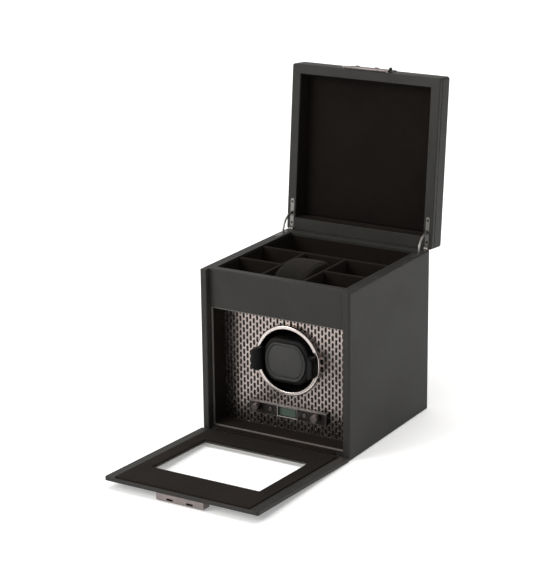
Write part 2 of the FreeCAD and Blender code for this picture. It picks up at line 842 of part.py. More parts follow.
def leaf(side, low, knuckle_in):
    """Leaf with its knuckle; low picks the case leaf, otherwise the lid leaf."""
    z0, z1 = ("wall_top-leaf_thick", "wall_top") if low else ("pivot_z", "pivot_z+leaf_thick")
    x0, x1 = ("leaf_in", "leaf_out") if side > 0 else ("-leaf_out", "-leaf_in")
    kx0, kx1 = ("leaf_in", "leaf_in+2.4") if knuckle_in else ("leaf_in+2.8", "leaf_out")
    if side < 0:
        kx0, kx1 = "-(%s)" % kx1, "-(%s)" % kx0
    plate = fillet(
        box(x0, x1, "pivot_y-leaf_long", "pivot_y-2.6", z0, z1),
        (both(along("z"), lambda a, b: a.y < num("pivot_y") - 20), 2.2),
    )
    whole = fuse(
        plate,
        box(kx0, kx1, "pivot_y-2.8", "pivot_y", z0, z1),
        cyl("x", kx0, "pivot_y", "pivot_z", "knuckle_rad", "(%s)-(%s)" % (kx1, kx0)),
    )
    mid = leaf_mid(side)
    stay_slot = box("%s-stay_thick/2-0.3" % mid, "%s+stay_thick/2+0.3" % mid, "pivot_y-stay_rad-stay_wide/2-0.6", "pivot_y-stay_rad+stay_wide/2+0.7", "%s-1" % z0, "%s+1" % z1)
    bore = cyl("x", x0, "pivot_y", "pivot_z", "lid_pin_rad" if low else "lid_pin_rad+run_gap", "leaf_out-leaf_in")
    holes = []
    for t in SCREW_T:
        holes.append(cyl("z", mid, "pivot_y-%s" % t, "%s-1" % z0, 0.9, 4))
        holes.append(cyl("z", mid, "pivot_y-%s" % t, "wall_top-0.9" if low else "pivot_z-0.2", 1.7, 1.1))
    return cut(whole, stay_slot, bore, *holes)


node(group(leaf(1, True, False), leaf(-1, True, False)), "case_hinge_leaves")
lid_leaves = group(leaf(1, False, True), leaf(-1, False, True))
node(lid_leaves, "lid_hinge_leaves", LID)
node(
    group(
        cyl("x", "leaf_in", "pivot_y", "pivot_z", "lid_pin_rad", "leaf_out-leaf_in"),
        cyl("x", "-leaf_out", "pivot_y", "pivot_z", "lid_pin_rad", "leaf_out-leaf_in"),
    ),
    "lid_hinge_pins",
)


def leaf_screws(low):
    out = []
    for side in (1, -1):
        for t in SCREW_T:
            mid = leaf_mid(side)
            y = "pivot_y-%s" % t
            if low:
                parts = fuse(cyl("z", mid, y, "wall_top-0.9", 1.7, 0.9), cyl("z", mid, y, "wall_top-8.5", 0.9, 7.8))
                slot = box("%s-0.25" % mid, "%s+0.25" % mid, "%s-1.4" % y, "%s+1.4" % y, "wall_top-0.45", "wall_top+1")
            else:
                parts = fuse(cyl("z", mid, y, "pivot_z", 1.7, 0.9), cyl("z", mid, y, "pivot_z+0.7", 0.9, 5.9))
                slot = box("%s-0.25" % mid, "%s+0.25" % mid, "%s-1.4" % y, "%s+1.4" % y, "pivot_z-1", "pivot_z+0.45")
            out.append(cut(parts, slot))
    return group(*out)


node(leaf_screws(True), "case_leaf_screws")
node(leaf_screws(False), "lid_leaf_screws", LID)

# Quadrant stays: loose curved arms with a stop head at each end, drawn at the
# open pose; they slide through both leaves as the lid closes.
stays = []
for side in (1, -1):
    mid = side * num("(leaf_in+leaf_out)/2")
    half = num("stay_thick") / 2.0
    centre = V(0, num("pivot_y"), num("pivot_z"))

    def sector(r0, r1, a0, a1):
        pts = [V(mid - half, -r0, 0), V(mid + half, -r0, 0), V(mid + half, -r1, 0), V(mid - half, -r1, 0)]
        face = Part.Face(Part.makePolygon(pts + [pts[0]]))
        solid = face.revolve(V(0, 0, 0), V(-1, 0, 0), a1 - a0)
        solid.rotate(V(0, 0, 0), V(-1, 0, 0), a0)
        solid.translate(centre)
        return solid

    r, w, opened = num("stay_rad"), num("stay_wide") / 2.0, num("lid_open")
    stay = sector(r - w, r + w, -9.6, opened + 8.6)
    stay = stay.fuse(sector(r - w - 1.3, r + w + 1.3, -10.6, -7.0)).fuse(sector(r - w - 1.3, r + w + 1.3, opened + 6.0, opened + 9.6))
    stays.append(stay.removeSplitter())
stay_obj = doc.addObject("Part::Feature", "quadrant_stays_solid")
stay_obj.Shape = Part.makeCompound(stays)
stay_obj.Placement = FreeCAD.Placement()
node(stay_obj, "quadrant_stays")

# ----------------------------------------------------------------------- lid
RIM_TOP = "pivot_z+rim_thick"
LID_TOP = "pivot_z+lid_thick"
corner = both(along("z"), lambda a, b: abs(a.x) > 100)
rim = fillet(box("-lid_half", "lid_half", "-lid_front", "lid_back", "pivot_z", RIM_TOP), (corner, 3))
rim_z0, rim_z1, lid_z1 = num("pivot_z"), num(RIM_TOP), num(LID_TOP)
rim = fillet(rim, (at(z=rim_z0), 1.4), (at(z=rim_z1), 0.9))
rim_cuts = [box("-recess_half", "recess_half", "-recess_front", "recess_back", "pivot_z-1", RIM_TOP + "+1")]
shell = fillet(box("-lid_half", "lid_half", "-lid_front", "lid_back", RIM_TOP, LID_TOP), (corner, 3))
shell = fillet(shell, (at(z=lid_z1), 2.2), (at(z=rim_z1), 0.9))
shell_cuts = [box("-recess_half", "recess_half", "-recess_front", "recess_back", RIM_TOP + "-1", "pivot_z+recess_deep")]
for side in (1, -1):
    rim_cuts.append(mortise(side, "pivot_z-1", RIM_TOP + "+1"))
    rim_cuts.append(leaf_recess(side, "pivot_z-1", "pivot_z+leaf_thick", "pivot_y-2.6"))
    nx0, nx1 = ("leaf_in-0.3", "leaf_out+0.3") if side > 0 else ("-leaf_out-0.3", "0.3-leaf_in")
    rim_cuts.append(box(nx0, nx1, "pivot_y-2.9", "lid_back+1", "pivot_z-1", "pivot_z+3"))
    for t in SCREW_T:
        rim_cuts.append(cyl("z", leaf_mid(side), "pivot_y-%s" % t, "pivot_z", 0.9, 6.8))
    shell_cuts.append(mortise(side, RIM_TOP + "-1", "pivot_z+20.5"))
node(cut(rim, *rim_cuts), "lid_rim_frame", LID)
node(cut(shell, *shell_cuts), "lid_shell", LID)
node(
    cut(
        box("-recess_half", "recess_half", "-recess_front", "recess_back", "pivot_z+0.3", "pivot_z+recess_deep"),
        box("-recess_half+1.2", "recess_half-1.2", "-recess_front+1.2", "recess_back-1.2", "pivot_z-1", "pivot_z+recess_deep-1.2"),
    ),
    "lid_lining",
    LID,
)

# Latch on the lid's front edge: fixed plate, pin and a flap that folds down
# over the strike.
plate = fillet(
    box("-strike_half", "strike_half", "-lid_front-1.2", "-lid_front", "flap_axis_z+1.7", "pivot_z+24.4"),
    (both(along("y"), lambda a, b: True), 1.5),
)
lugs = []
for x in ("-strike_half", "strike_half-2.8"):
    lugs.append(cut(
        fuse(
            cyl("x", x, "-flap_axis_y", "flap_axis_z", 1.3, 2.8),
            box(x, "%s+2.8" % x, "-flap_axis_y", "-lid_front", "flap_axis_z", "flap_axis_z+1.2"),
            box(x, "%s+2.8" % x, "-lid_front-1.2", "-lid_front", "flap_axis_z", "flap_axis_z+3.4"),
        ),
        cyl("x", "%s-1" % x, "-flap_axis_y", "flap_axis_z", 0.6, 4.8),
    ))
node(fuse(plate, *lugs), "lid_latch_plate", LID)
latch_pin = group(cyl("x", "-strike_half", "-flap_axis_y", "flap_axis_z", 0.6, "strike_half*2"))
node(latch_pin, "latch_pin", LID)
flap = fuse(
    cyl("x", "-strike_half+3.1", "-flap_axis_y", "flap_axis_z", 1.3, "strike_half*2-6.2"),
    box("-strike_half+3.1", "strike_half-3.1", "-flap_axis_y-0.5", "-flap_axis_y+0.5", "flap_axis_z", "flap_axis_z+2.4"),
    fillet(
        box("-strike_half", "strike_half", "-flap_axis_y-0.5", "-flap_axis_y+0.5", "flap_axis_z+1.8", "flap_axis_z+10"),
        (both(along("y"), lambda a, b: a.z > num("flap_axis_z") + 5), 1.5),
    ),
    box("strike_half-0.2", "strike_half+2.4", "-flap_axis_y-0.5", "-flap_axis_y+0.5", "flap_axis_z+2.6", "flap_axis_z+6"),
    box("strike_half+0.4", "strike_half+2.4", "-flap_axis_y-4", "-flap_axis_y", "flap_axis_z+2.6", "flap_axis_z+6"),
    *[
        fillet(
            box("%s-2.8" % x, "%s+2.8" % x, "-flap_axis_y-2.6", "-flap_axis_y-0.3", "flap_axis_z+slot_y-flap_axis_y-0.9", "flap_axis_z+slot_y-flap_axis_y+0.9"),
            (both(along("y"), lambda a, b: True), 0.85),
        )
        for x in ("slot_x", "(-slot_x)")
    ]
)
node(cut(flap, cyl("x", "-strike_half", "-flap_axis_y", "flap_axis_z", "0.6+run_gap", "strike_half*2")), "latch_flap", LID)

# --------------------------------------------------------------- glazed front
FP_Y, FP_Z = "-front_pivot_y", "front_pivot_z"
slab = box("-frame_half", "frame_half", "-frame_outer", "-frame_inner", "frame_low", "frame_high")
slab = fillet(
    slab,
    (both(along("x"), at(z=num("frame_low"))), num("frame_outer-frame_inner") / 2.0 - 0.01),
    (both(along("y"), at(z=num("frame_high"))), 3),
    (both(along("x"), at(z=num("frame_high"))), 1.2),
)
frame_cuts = [
    box("-window_half", "window_half", "-frame_outer-1", "-frame_inner+1", "window_low", "window_high"),
    box("-window_half-4", "window_half+4", "-frame_inner-2.2", "-frame_inner+1", "window_low-4", "window_high+4"),
]
for side in (1, -1):
    nx0, nx1 = ("83.8", "92.2") if side > 0 else ("-92.2", "-83.8")
    frame_cuts.append(box(nx0, nx1, "-frame_outer-1", "-frame_inner+1", "frame_low-1", "front_pivot_z+3"))
    px0 = "80.4" if side > 0 else "-95.6"
    frame_cuts.append(cyl("x", px0, FP_Y, FP_Z, 0.9, 15.2))
node(cut(slab, *frame_cuts), "front_frame", FRONT)

lining = fillet(
    box("-lining_half", "lining_half", "-frame_inner", "-lining_inner", 5.8, 203.8),
    (both(along("y"), lambda a, b: True), 1.5),
)
node(cut(lining, box("-window_half", "window_half", "-frame_inner-1", "-lining_inner+1", "window_low", "window_high")), "front_lining", FRONT)
node(
    group(box("-window_half-3.8", "window_half+3.8", "-frame_inner-2.1", "-frame_inner-0.1", "window_low-3.8", "window_high+3.8")),
    "front_glass",
    FRONT,
)

strike = body("front_strike")
strike_pad = pad(
    strike,
    sketch(strike, "XZ_Plane", "frame_outer", [rect("-strike_half", "strike_half", "strike_low", "strike_high")]),
    "strike_front-frame_outer",
)
strike_soft = soften(strike, strike_pad, 2.4, lambda a, b: near(a.y, -num("strike_front")) and near(b.y, -num("strike_front")))
strike_slot = pocket(
    strike,
    sketch(strike, "XY_Plane", "strike_high", [rect("slot_x-slot_half", "slot_x+slot_half", "-slot_y-slot_wide/2", "slot_wide/2-slot_y")]),
    "5",
)
mirror = strike.newObject("PartDesign::Mirrored", name("mirror"))
mirror.Originals = [strike_slot]
mirror.MirrorPlane = ([f for f in strike.Origin.OriginFeatures if f.Role == "YZ_Plane"][0], [""])
strike.Tip = mirror
doc.recompute()
node(strike, "front_strike", FRONT)

node(
    group(cyl("x", "80.4", FP_Y, FP_Z, 0.9, 15.2), cyl("x", "-95.6", FP_Y, FP_Z, 0.9, 15.2)),
    "front_hinge_pins",
    FRONT,
)
front_lugs = []
for side in (1, -1):
    def across(a, b):
        return (a, b) if side > 0 else ("-%s" % b, "-%s" % a)
    x0, x1 = across("84.2", "91.8")
    front_lugs.append(cut(
        fuse(
            cyl("x", x0, FP_Y, FP_Z, 2.2, 7.6),
            box(x0, x1, FP_Y, -97, "foot+0.2", "front_pivot_z+1.6"),
            box(*across("82", "92.8"), -98.2, -97, "foot", 6.3),
        ),
        cyl("x", "(%s)-1" % x0, FP_Y, FP_Z, "0.9+run_gap", 9.6),
    ))
node(group(*front_lugs), "front_hinge_lugs")

# --------------------------------------------------------------------- output
doc.recompute()
bad = [o.Name for o in doc.Objects if "Invalid" in o.State or "Error" in o.State]
if bad:
    raise RuntimeError("failed objects: " + ", ".join(bad))
labels = [label for label, _ in FINAL]
if len(set(labels)) != len(labels) or len(labels) > 60:
    raise RuntimeError("labels clash or too many sub-parts: %d" % len(labels))
for label, obj in FINAL:
    if obj.Shape.isNull() or not obj.Shape.isValid() or not obj.Shape.Solids:
        raise RuntimeError("bad shape: " + label)
os.makedirs("parts", exist_ok=True)
for label, obj in FINAL:
    shape = obj.Shape
    shape.exportStep(os.path.join("parts", label + ".step"))
    bb = shape.BoundBox
    print("%-20s solids %2d  vol %10.1f  x %7.2f %7.2f  y %7.2f %7.2f  z %7.2f %7.2f" % (
        label, len(shape.Solids), shape.Volume, bb.XMin, bb.XMax, bb.YMin, bb.YMax, bb.ZMin, bb.ZMax))
print("sub-parts", len(FINAL))
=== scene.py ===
import json
import math

import bmesh
import bpy
from mathutils import Matrix, Vector, noise
from mathutils.geometry import delaunay_2d_cdt


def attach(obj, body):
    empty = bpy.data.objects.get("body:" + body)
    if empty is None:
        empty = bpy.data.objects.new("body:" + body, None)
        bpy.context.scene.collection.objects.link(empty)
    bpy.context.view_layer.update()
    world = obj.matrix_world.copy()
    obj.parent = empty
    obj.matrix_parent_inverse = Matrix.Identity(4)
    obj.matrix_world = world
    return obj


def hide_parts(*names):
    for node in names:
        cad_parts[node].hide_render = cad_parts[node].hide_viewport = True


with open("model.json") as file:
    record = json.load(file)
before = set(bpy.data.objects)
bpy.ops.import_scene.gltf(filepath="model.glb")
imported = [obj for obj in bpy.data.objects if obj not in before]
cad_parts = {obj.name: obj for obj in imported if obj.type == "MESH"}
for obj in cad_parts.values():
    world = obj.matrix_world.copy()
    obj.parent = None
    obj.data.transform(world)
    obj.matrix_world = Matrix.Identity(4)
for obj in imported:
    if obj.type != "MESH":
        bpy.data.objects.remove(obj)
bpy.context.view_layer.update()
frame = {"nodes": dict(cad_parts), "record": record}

MM = 0.001
NODES = frame["nodes"]

# ------------------------------------------------------------------ geometry
# Hinge axes and opening angles, as on the construction model (millimetres).
PIVOT_Y, PIVOT_Z, LID_OPEN = 103.9, 207.2, 95.0
FRONT_Y, FRONT_Z, FRONT_OPEN = -104.7, 2.8, 87.3
DRUM_Z = 98.2


def about_x(y, z, degrees):
    centre = Vector((0, y * MM, z * MM))
    return Matrix.Translation(centre) @ Matrix.Rotation(math.radians(degrees), 4, "X") @ Matrix.Translation(-centre)


LID = about_x(PIVOT_Y, PIVOT_Z, -LID_OPEN)
FRONT = about_x(FRONT_Y, FRONT_Z, FRONT_OPEN)


def make(name, verts, faces, material, body, slot, matrix=None, angle=35.0, unit=MM):
    """A mesh piece from points in millimetres, smooth except across sharp edges."""
    mesh = bpy.data.meshes.new(name)
    pts = [Vector(v) * unit for v in verts]
    if matrix is not None:
        pts = [matrix @ p for p in pts]
    mesh.from_pydata([tuple(p) for p in pts], [], faces)
    bm = bmesh.new()
    bm.from_mesh(mesh)
    bmesh.ops.remove_doubles(bm, verts=bm.verts, dist=2e-6)
    bmesh.ops.recalc_face_normals(bm, faces=bm.faces)
    bm.to_mesh(mesh)
    bm.free()
    mesh.shade_smooth()
    mesh.set_sharp_from_angle(angle=math.radians(angle))
    mesh.materials.append(material)
    obj = bpy.data.objects.new(name, mesh)
    bpy.context.scene.collection.objects.link(obj)
    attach(obj, body)
    return obj


def rrect(x0, x1, y0, y1, r, n=6):
    """Rounded rectangle, counter-clockwise, 4 * (n + 1) points."""
    r = max(0.02, min(r, (x1 - x0) / 2 - 0.01, (y1 - y0) / 2 - 0.01))
    out = []
    for cx, cy, a0 in ((x1 - r, y1 - r, 0), (x0 + r, y1 - r, 90), (x0 + r, y0 + r, 180), (x1 - r, y0 + r, 270)):
        for k in range(n + 1):
            a = math.radians(a0 + 90.0 * k / n)
            out.append((cx + r * math.cos(a), cy + r * math.sin(a)))
    return out


def loft(loops, ring=False, cap_first=True, cap_last=True):
    """Quads between loops of equal length; ring closes the last loop on the first."""
    n = len(loops[0])
    verts = [p for loop in loops for p in loop]
    faces = []
    pairs = [(i, i + 1) for i in range(len(loops) - 1)]
    if ring:
        pairs.append((len(loops) - 1, 0))
    for a, b in pairs:
        for k in range(n):
            m = (k + 1) % n
            faces.append((a * n + k, a * n + m, b * n + m, b * n + k))
    if not ring and cap_first:
        faces.append(tuple(range(n)))
    if not ring and cap_last:
        faces.append(tuple((len(loops) - 1) * n + k for k in range(n)))
    return verts, faces


def join_lists(parts):
    verts, faces = [], []
    for v, f in parts:
        base = len(verts)
        verts += v
        faces += [tuple(i + base for i in face) for face in f]
    return verts, faces


def soft_box(x0, x1, y0, y1, z0, z1, r, plan=1.0, n=5, both=False, steps=4, wave=0.0, seed=0.0):
    """Box with rounded upper edges and rounded plan corners, sides cut into steps so they can waver a little."""
    loops = []

    def ring_at(inset, z):
        return [(x, y, z) for x, y in rrect(x0 + inset, x1 - inset, y0 + inset, y1 - inset, plan, n)]

    if both:
        for k in range(n + 1):
            a = math.radians(90.0 * k / n)
            loops.append(ring_at(r * (1 - math.sin(a)), z0 + r * (1 - math.cos(a))))
    else:
        loops.append(ring_at(0, z0))
    low, high = (z0 + r if both else z0), z1 - r
    for k in range(1, steps):
        loops.append(ring_at(0, low + (high - low) * k / steps))
    for k in range(n + 1):
        a = math.radians(90.0 * k / n)
        loops.append(ring_at(r * (1 - math.cos(a)), z1 - r + r * math.sin(a)))
    if wave:
        loops = [[tuple(Vector(p) + wave * noise.noise_vector(Vector(p) * 0.05 + Vector((seed, 0, 0)))) for p in loop] for loop in loops]
    return loft(loops)


def profile_frame(outer, inner, depth_profile, corner_out, corner_in, n=6):
    """Frame between an outer and an inner rectangle. depth_profile lists (share from outer to inner edge in mm, height)."""
    loops = []
    for side, inset, h in depth_profile:
        if side == "out":
            x0, x1, y0, y1 = outer
            loops.append([(x, y, h) for x, y in rrect(x0 + inset, x1 - inset, y0 + inset, y1 - inset, max(0.05, corner_out - inset), n)])
        else:
            x0, x1, y0, y1 = inner
            loops.append([(x, y, h) for x, y in rrect(x0 - inset, x1 + inset, y0 - inset, y1 + inset, corner_in + inset, n)])
    return loft(loops, ring=True)


def lathe(profile, n=128, centre_z=DRUM_Z, centre_x=0.0):
    """Turn (y, radius) points about the Y axis; a closed profile gives a closed ring."""
    loops = []
    for y, r in profile:
        loops.append([(centre_x + r * math.cos(2 * math.pi * k / n), y, centre_z + r * math.sin(2 * math.pi * k / n)) for k in range(n)])
    return loft(loops, ring=True)


def puff(obj, voxel, cap, low, high, pressure=4.0, seam_x=None):
    """Inflate a stuffed piece with a short cloth run, keep it inside a box, sew its seams in and put the result in its mesh."""
    scene = bpy.context.scene
    grid = obj.modifiers.new("grid", "REMESH")
    grid.mode = "VOXEL"
    grid.voxel_size = voxel
    mesh = bpy.data.meshes.new_from_object(obj.evaluated_get(bpy.context.evaluated_depsgraph_get()))
    obj.modifiers.remove(grid)
    work = bpy.data.objects.new("stuffing", mesh)
    scene.collection.objects.link(work)
    start = [v.co.copy() for v in mesh.vertices]
    held = work.vertex_groups.new(name="held")
    held.add([k for k, c in enumerate(start) if c.z < low[2] + 0.004], 1.0, "REPLACE")
    cloth = work.modifiers.new("cloth", "CLOTH")
    cloth.settings.quality = 6
    cloth.settings.mass = 0.3
    cloth.settings.use_pressure = True
    cloth.settings.uniform_pressure_force = pressure
    cloth.settings.effector_weights.gravity = 0.0
    cloth.settings.vertex_group_mass = "held"
    cloth.collision_settings.use_collision = False
    cloth.collision_settings.use_self_collision = False
    cloth.point_cache.frame_start = 1
    cloth.point_cache.frame_end = 20
    for k in range(1, 21):
        scene.frame_set(k)
    moved = [v.co.copy() for v in work.evaluated_get(bpy.context.evaluated_depsgraph_get()).data.vertices]
    work.modifiers.remove(cloth)
    scene.frame_set(1)
    for v, a, b in zip(mesh.vertices, start, moved):
        step = b - a
        if step.length > cap:
            step *= cap / step.length
        v.co = a + step
    smooth = work.modifiers.new("smooth", "SMOOTH")
    smooth.factor = 0.5
    smooth.iterations = 3
    fine = work.modifiers.new("fine", "SUBSURF")
    fine.levels = fine.render_levels = 1
    done = bpy.data.meshes.new_from_object(work.evaluated_get(bpy.context.evaluated_depsgraph_get()))
    normals = [n.vector.copy() for n in done.vertex_normals]
    for v, n in zip(done.vertices, normals):
        if seam_x is not None:
            v.co -= n * 0.0007 * math.exp(-(((abs(v.co.x) - seam_x) / 0.0008) ** 2)) * (1.0 if v.co.z > low[2] + 0.004 else 0.0)
        v.co = Vector([min(max(c, a), b) for c, a, b in zip(v.co, low, high)])
    done.materials.clear()
    for m in obj.data.materials:
        done.materials.append(m)
    old = obj.data
    obj.data = done
    done.name = obj.name
    bpy.data.objects.remove(work)
    bpy.data.meshes.remove(mesh)
    bpy.data.meshes.remove(old)
    done.shade_smooth()


# ----------------------------------------------------------------- materials


class Shade:
    """Small helper that strings shader nodes together."""

    def __init__(self, name):
        self.mat = bpy.data.materials.new(name)
        self.mat.use_nodes = True
        self.tree = self.mat.node_tree
        self.bsdf = next(n for n in self.tree.nodes if n.type == "BSDF_PRINCIPLED")
        self.coord = self.tree.nodes.new("ShaderNodeTexCoord").outputs["Object"]

    def put(self, socket, value):
        if isinstance(value, bpy.types.NodeSocket):
            self.tree.links.new(value, socket)
        elif socket.type == "RGBA" and len(value) == 3:
            socket.default_value = (*value, 1.0)
        else:
            socket.default_value = value

    def set(self, **values):
        for key, value in values.items():
            self.put(self.bsdf.inputs[key.replace("_", " ")], value)
        return self

    def node(self, kind, out=0, settings=None, **inputs):
        n = self.tree.nodes.new(kind)
        for k, v in (settings or {}).items():
            setattr(n, k, v)
        for k, v in inputs.items():
            key = k.replace("_", " ")
            self.put(n.inputs[int(k[1:])] if k[0] == "i" and k[1:].isdigit() else n.inputs[key], v)
        return n.outputs[out]

    def stretch(self, x, y, z):
        return self.node("ShaderNodeMapping", Vector=self.coord, Scale=(x, y, z))

    def noise(self, scale, detail=3.0, rough=0.55, vector=None, distort=0.0, out=0):
        return self.node("ShaderNodeTexNoise", out, Vector=vector or self.coord, Scale=scale, Detail=detail, Roughness=rough, Distortion=distort)

    def cells(self, scale, feature="F1", vector=None, out=0):
        return self.node("ShaderNodeTexVoronoi", out, settings={"feature": feature}, Vector=vector or self.coord, Scale=scale)

    def math(self, op, a, b=0.5, clamp=False):
        return self.node("ShaderNodeMath", settings={"operation": op, "use_clamp": clamp}, i0=a, i1=b)

    def span(self, value, a, b, lo, hi):
        """Map value from a..b to lo..hi, held inside."""
        return self.node("ShaderNodeMapRange", Value=value, From_Min=a, From_Max=b, To_Min=lo, To_Max=hi)

    def blend(self, fac, a, b):
        n = self.tree.nodes.new("ShaderNodeMix")
        n.data_type = "RGBA"
        self.put(n.inputs[0], fac)
        self.put(n.inputs[6], a)
        self.put(n.inputs[7], b)
        return n.outputs[2]

    def bump(self, height, strength, distance, normal=None):
        n = self.tree.nodes.new("ShaderNodeBump")
        self.put(n.inputs["Height"], height)
        n.inputs["Strength"].default_value = strength
        n.inputs["Distance"].default_value = distance
        if normal is not None:
            self.put(n.inputs["Normal"], normal)
        return n.outputs[0]

    def bevel(self, radius, samples=4):
        return self.node("ShaderNodeBevel", settings={"samples": samples}, Radius=radius)

    def edge(self, radius, samples=4):
        """About 1 near a corner and 0 on flat ground."""
        soft = self.bevel(radius, samples)
        flat = self.tree.nodes.new("ShaderNodeNewGeometry").outputs["Normal"]
        dot = self.node("ShaderNodeVectorMath", 1, settings={"operation": "DOT_PRODUCT"}, i0=soft, i1=flat)
        return self.span(dot, 0.98, 0.75, 0.0, 1.0), soft


def leather(name, dark, light, rough=0.46, grain=950.0, spec=0.4, relief=0.00012, wear_and_highlight=(0.16, 0.155, 0.15), wear_and_highlight_amount=0.35):
    s = Shade(name)
    warp = s.node("ShaderNodeVectorMath", settings={"operation": "MULTIPLY_ADD"}, i0=s.noise(300.0, 2.0, out=1), i1=(0.0011, 0.0011, 0.0011), i2=s.coord)
    crease = s.cells(grain, "DISTANCE_TO_EDGE", warp)
    pebble = s.span(crease, 0.0, 0.22, 0.0, 1.0)
    fine = s.noise(5200.0, 2.0)
    patch = s.noise(16.0, 4.0, 0.6, distort=0.6)
    mottled = s.noise(130.0, 3.0)
    tone = s.math("ADD", s.math("MULTIPLY", s.span(patch, 0.3, 0.7, 0.0, 1.0), 0.55), s.math("MULTIPLY", pebble, 0.3))
    tone = s.math("ADD", tone, s.math("MULTIPLY", mottled, 0.2), clamp=True)
    colour = s.blend(tone, dark, light)
    mask, soft = s.edge(0.0011)
    # Edges lightened towards the wear_and_highlight colour: partly wear, partly a painted highlight along the edges.
    worn_and_highlit = s.math("MULTIPLY", mask, s.span(s.noise(60.0, 4.0), 0.35, 0.7, 0.15 * wear_and_highlight_amount, wear_and_highlight_amount))
    colour = s.blend(worn_and_highlit, colour, wear_and_highlight)
    ro = s.math("ADD", s.span(patch, 0.25, 0.75, rough - 0.06, rough + 0.08), s.span(pebble, 0.0, 1.0, 0.1, -0.02))
    height = s.math("ADD", s.math("MULTIPLY", pebble, 0.8), s.math("MULTIPLY", fine, 0.25))
    s.set(Base_Color=colour, Roughness=ro, Normal=s.bump(height, 0.5, relief, soft))
    s.set(Specular_IOR_Level=spec)
    return s.mat


def suede(name, dark, light, sheen=0.12, tint=(0.55, 0.5, 0.46), relief=0.00025):
    s = Shade(name)
    patch = s.noise(11.0, 3.0, 0.5, distort=1.2)
    brushed = s.noise(1.0, 4.0, 0.6, vector=s.stretch(210.0, 45.0, 90.0), distort=0.8)
    nap = s.noise(2600.0, 3.0, 0.7)
    fibre = s.noise(1.0, 3.0, 0.6, vector=s.stretch(5200.0, 1500.0, 2600.0), distort=0.4)
    tone = s.math("ADD", s.math("MULTIPLY", s.span(patch, 0.3, 0.7, 0.0, 1.0), 0.45), s.math("MULTIPLY", s.span(brushed, 0.3, 0.7, 0.0, 1.0), 0.3))
    tone = s.math("ADD", tone, s.math("MULTIPLY", nap, 0.35), clamp=True)
    colour = s.blend(tone, dark, light)
    height = s.math("ADD", s.math("MULTIPLY", nap, 0.6), s.math("MULTIPLY", fibre, 0.6))
    s.set(Base_Color=colour, Roughness=s.span(nap, 0.3, 0.7, 0.86, 0.98), Normal=s.bump(height, 0.6, relief, s.bevel(0.0006)))
    s.set(Specular_IOR_Level=0.12, Sheen_Weight=sheen, Sheen_Roughness=0.45, Sheen_Tint=tint)
    return s.mat


def metal(name, colour, shade, rough=0.28, grain=(30.0, 900.0, 900.0), relief=0.00001, wear_and_highlight=0.2, bevel=0.00025, aniso=0.0, wall_shade=None):
    s = Shade(name)
    lines = s.noise(1.0, 3.0, 0.65, vector=s.stretch(*grain))
    smudge = s.noise(42.0, 4.0, 0.6, distort=0.5)
    mask, soft = s.edge(bevel)
    tint = s.blend(s.span(smudge, 0.3, 0.7, 0.0, 1.0), colour, shade)
    # Edges lightened by the wear_and_highlight amount: a painted highlight along the edges, with some wear.
    edge_highlight_colour = tuple(min(1.0, c * 1.25) for c in colour)
    tint = s.blend(s.math("MULTIPLY", mask, wear_and_highlight), tint, edge_highlight_colour)
    if wall_shade:
        # Painted shade: the cut walls, which don't face along Y, are darkened towards wall_shade, standing in for the
        # shade inside the slots.
        facing = s.node("ShaderNodeSeparateXYZ", 1, i0=s.tree.nodes.new("ShaderNodeTexCoord").outputs["Normal"])
        tint = s.blend(s.span(s.math("ABSOLUTE", facing), 0.4, 0.8, 1.0, 0.0), tint, wall_shade)
    ro = s.math("ADD", s.span(lines, 0.25, 0.75, rough - 0.05, rough + 0.07), s.span(smudge, 0.3, 0.7, -0.02, 0.05))
    s.set(Base_Color=tint, Roughness=ro, Normal=s.bump(lines, 0.35, relief, soft))
    s.set(Metallic=1.0)
    if aniso:
        s.set(Anisotropic=aniso)
    return s.mat


def plastic(name, dark, light, rough=0.42, relief=0.00004, scale=2400.0, spec=0.4, bevel=0.0003, coat=0.0):
    s = Shade(name)
    grain = s.noise(scale, 3.0, 0.6)
    patch = s.noise(34.0, 3.0, 0.55)
    mask, soft = s.edge(bevel)
    colour = s.blend(s.math("ADD", s.math("MULTIPLY", patch, 0.6), s.math("MULTIPLY", grain, 0.4)), dark, light)
    # Edges lightened: partly wear, partly a painted highlight along the edges.
    worn_and_highlit = tuple(min(1.0, c * 1.6 + 0.01) for c in light)
    colour = s.blend(s.math("MULTIPLY", mask, 0.35), colour, worn_and_highlit)
    s.set(Base_Color=colour, Roughness=s.span(patch, 0.3, 0.7, rough - 0.05, rough + 0.08), Normal=s.bump(grain, 0.35, relief, soft))
    s.set(Specular_IOR_Level=spec)
    if coat:
        s.set(Coat_Weight=coat, Coat_Roughness=0.05)
    return s.mat


def glass(name):
    s = Shade(name)
    smear = s.noise(28.0, 4.0, 0.6, distort=0.9)
    s.set(Roughness=s.span(smear, 0.3, 0.75, 0.01, 0.03), Base_Color=s.blend(smear, (0.90, 0.93, 0.93), (0.97, 0.98, 0.98)))
    s.set(Alpha=0.05, Specular_IOR_Level=0.2)
    s.mat.surface_render_method = "BLENDED"
    return s.mat


def lcd(name):
    s = Shade(name)
    sep = s.tree.nodes.new("ShaderNodeSeparateXYZ")
    s.put(sep.inputs[0], s.coord)
    shade = s.span(sep.outputs[0], -0.012, -0.006, 0.0, 1.0)
    rows = s.math("ABSOLUTE", s.math("SINE", s.math("MULTIPLY", sep.outputs[0], 4200.0)))
    cols = s.math("ABSOLUTE", s.math("SINE", s.math("MULTIPLY", sep.outputs[2], 4200.0)))
    grid = s.math("MULTIPLY", s.span(rows, 0.0, 0.25, 0.85, 1.0), s.span(cols, 0.0, 0.25, 0.85, 1.0))
    tone = s.blend(s.math("MULTIPLY", shade, grid), (0.012, 0.015, 0.013), (0.078, 0.108, 0.088))
    s.set(Base_Color=s.blend(s.math("MULTIPLY", s.noise(90.0, 2.0), 0.25), tone, (0.12, 0.16, 0.13)), Roughness=s.span(s.noise(60.0), 0.3, 0.7, 0.12, 0.2))
    s.set(Specular_IOR_Level=0.5)
    return s.mat


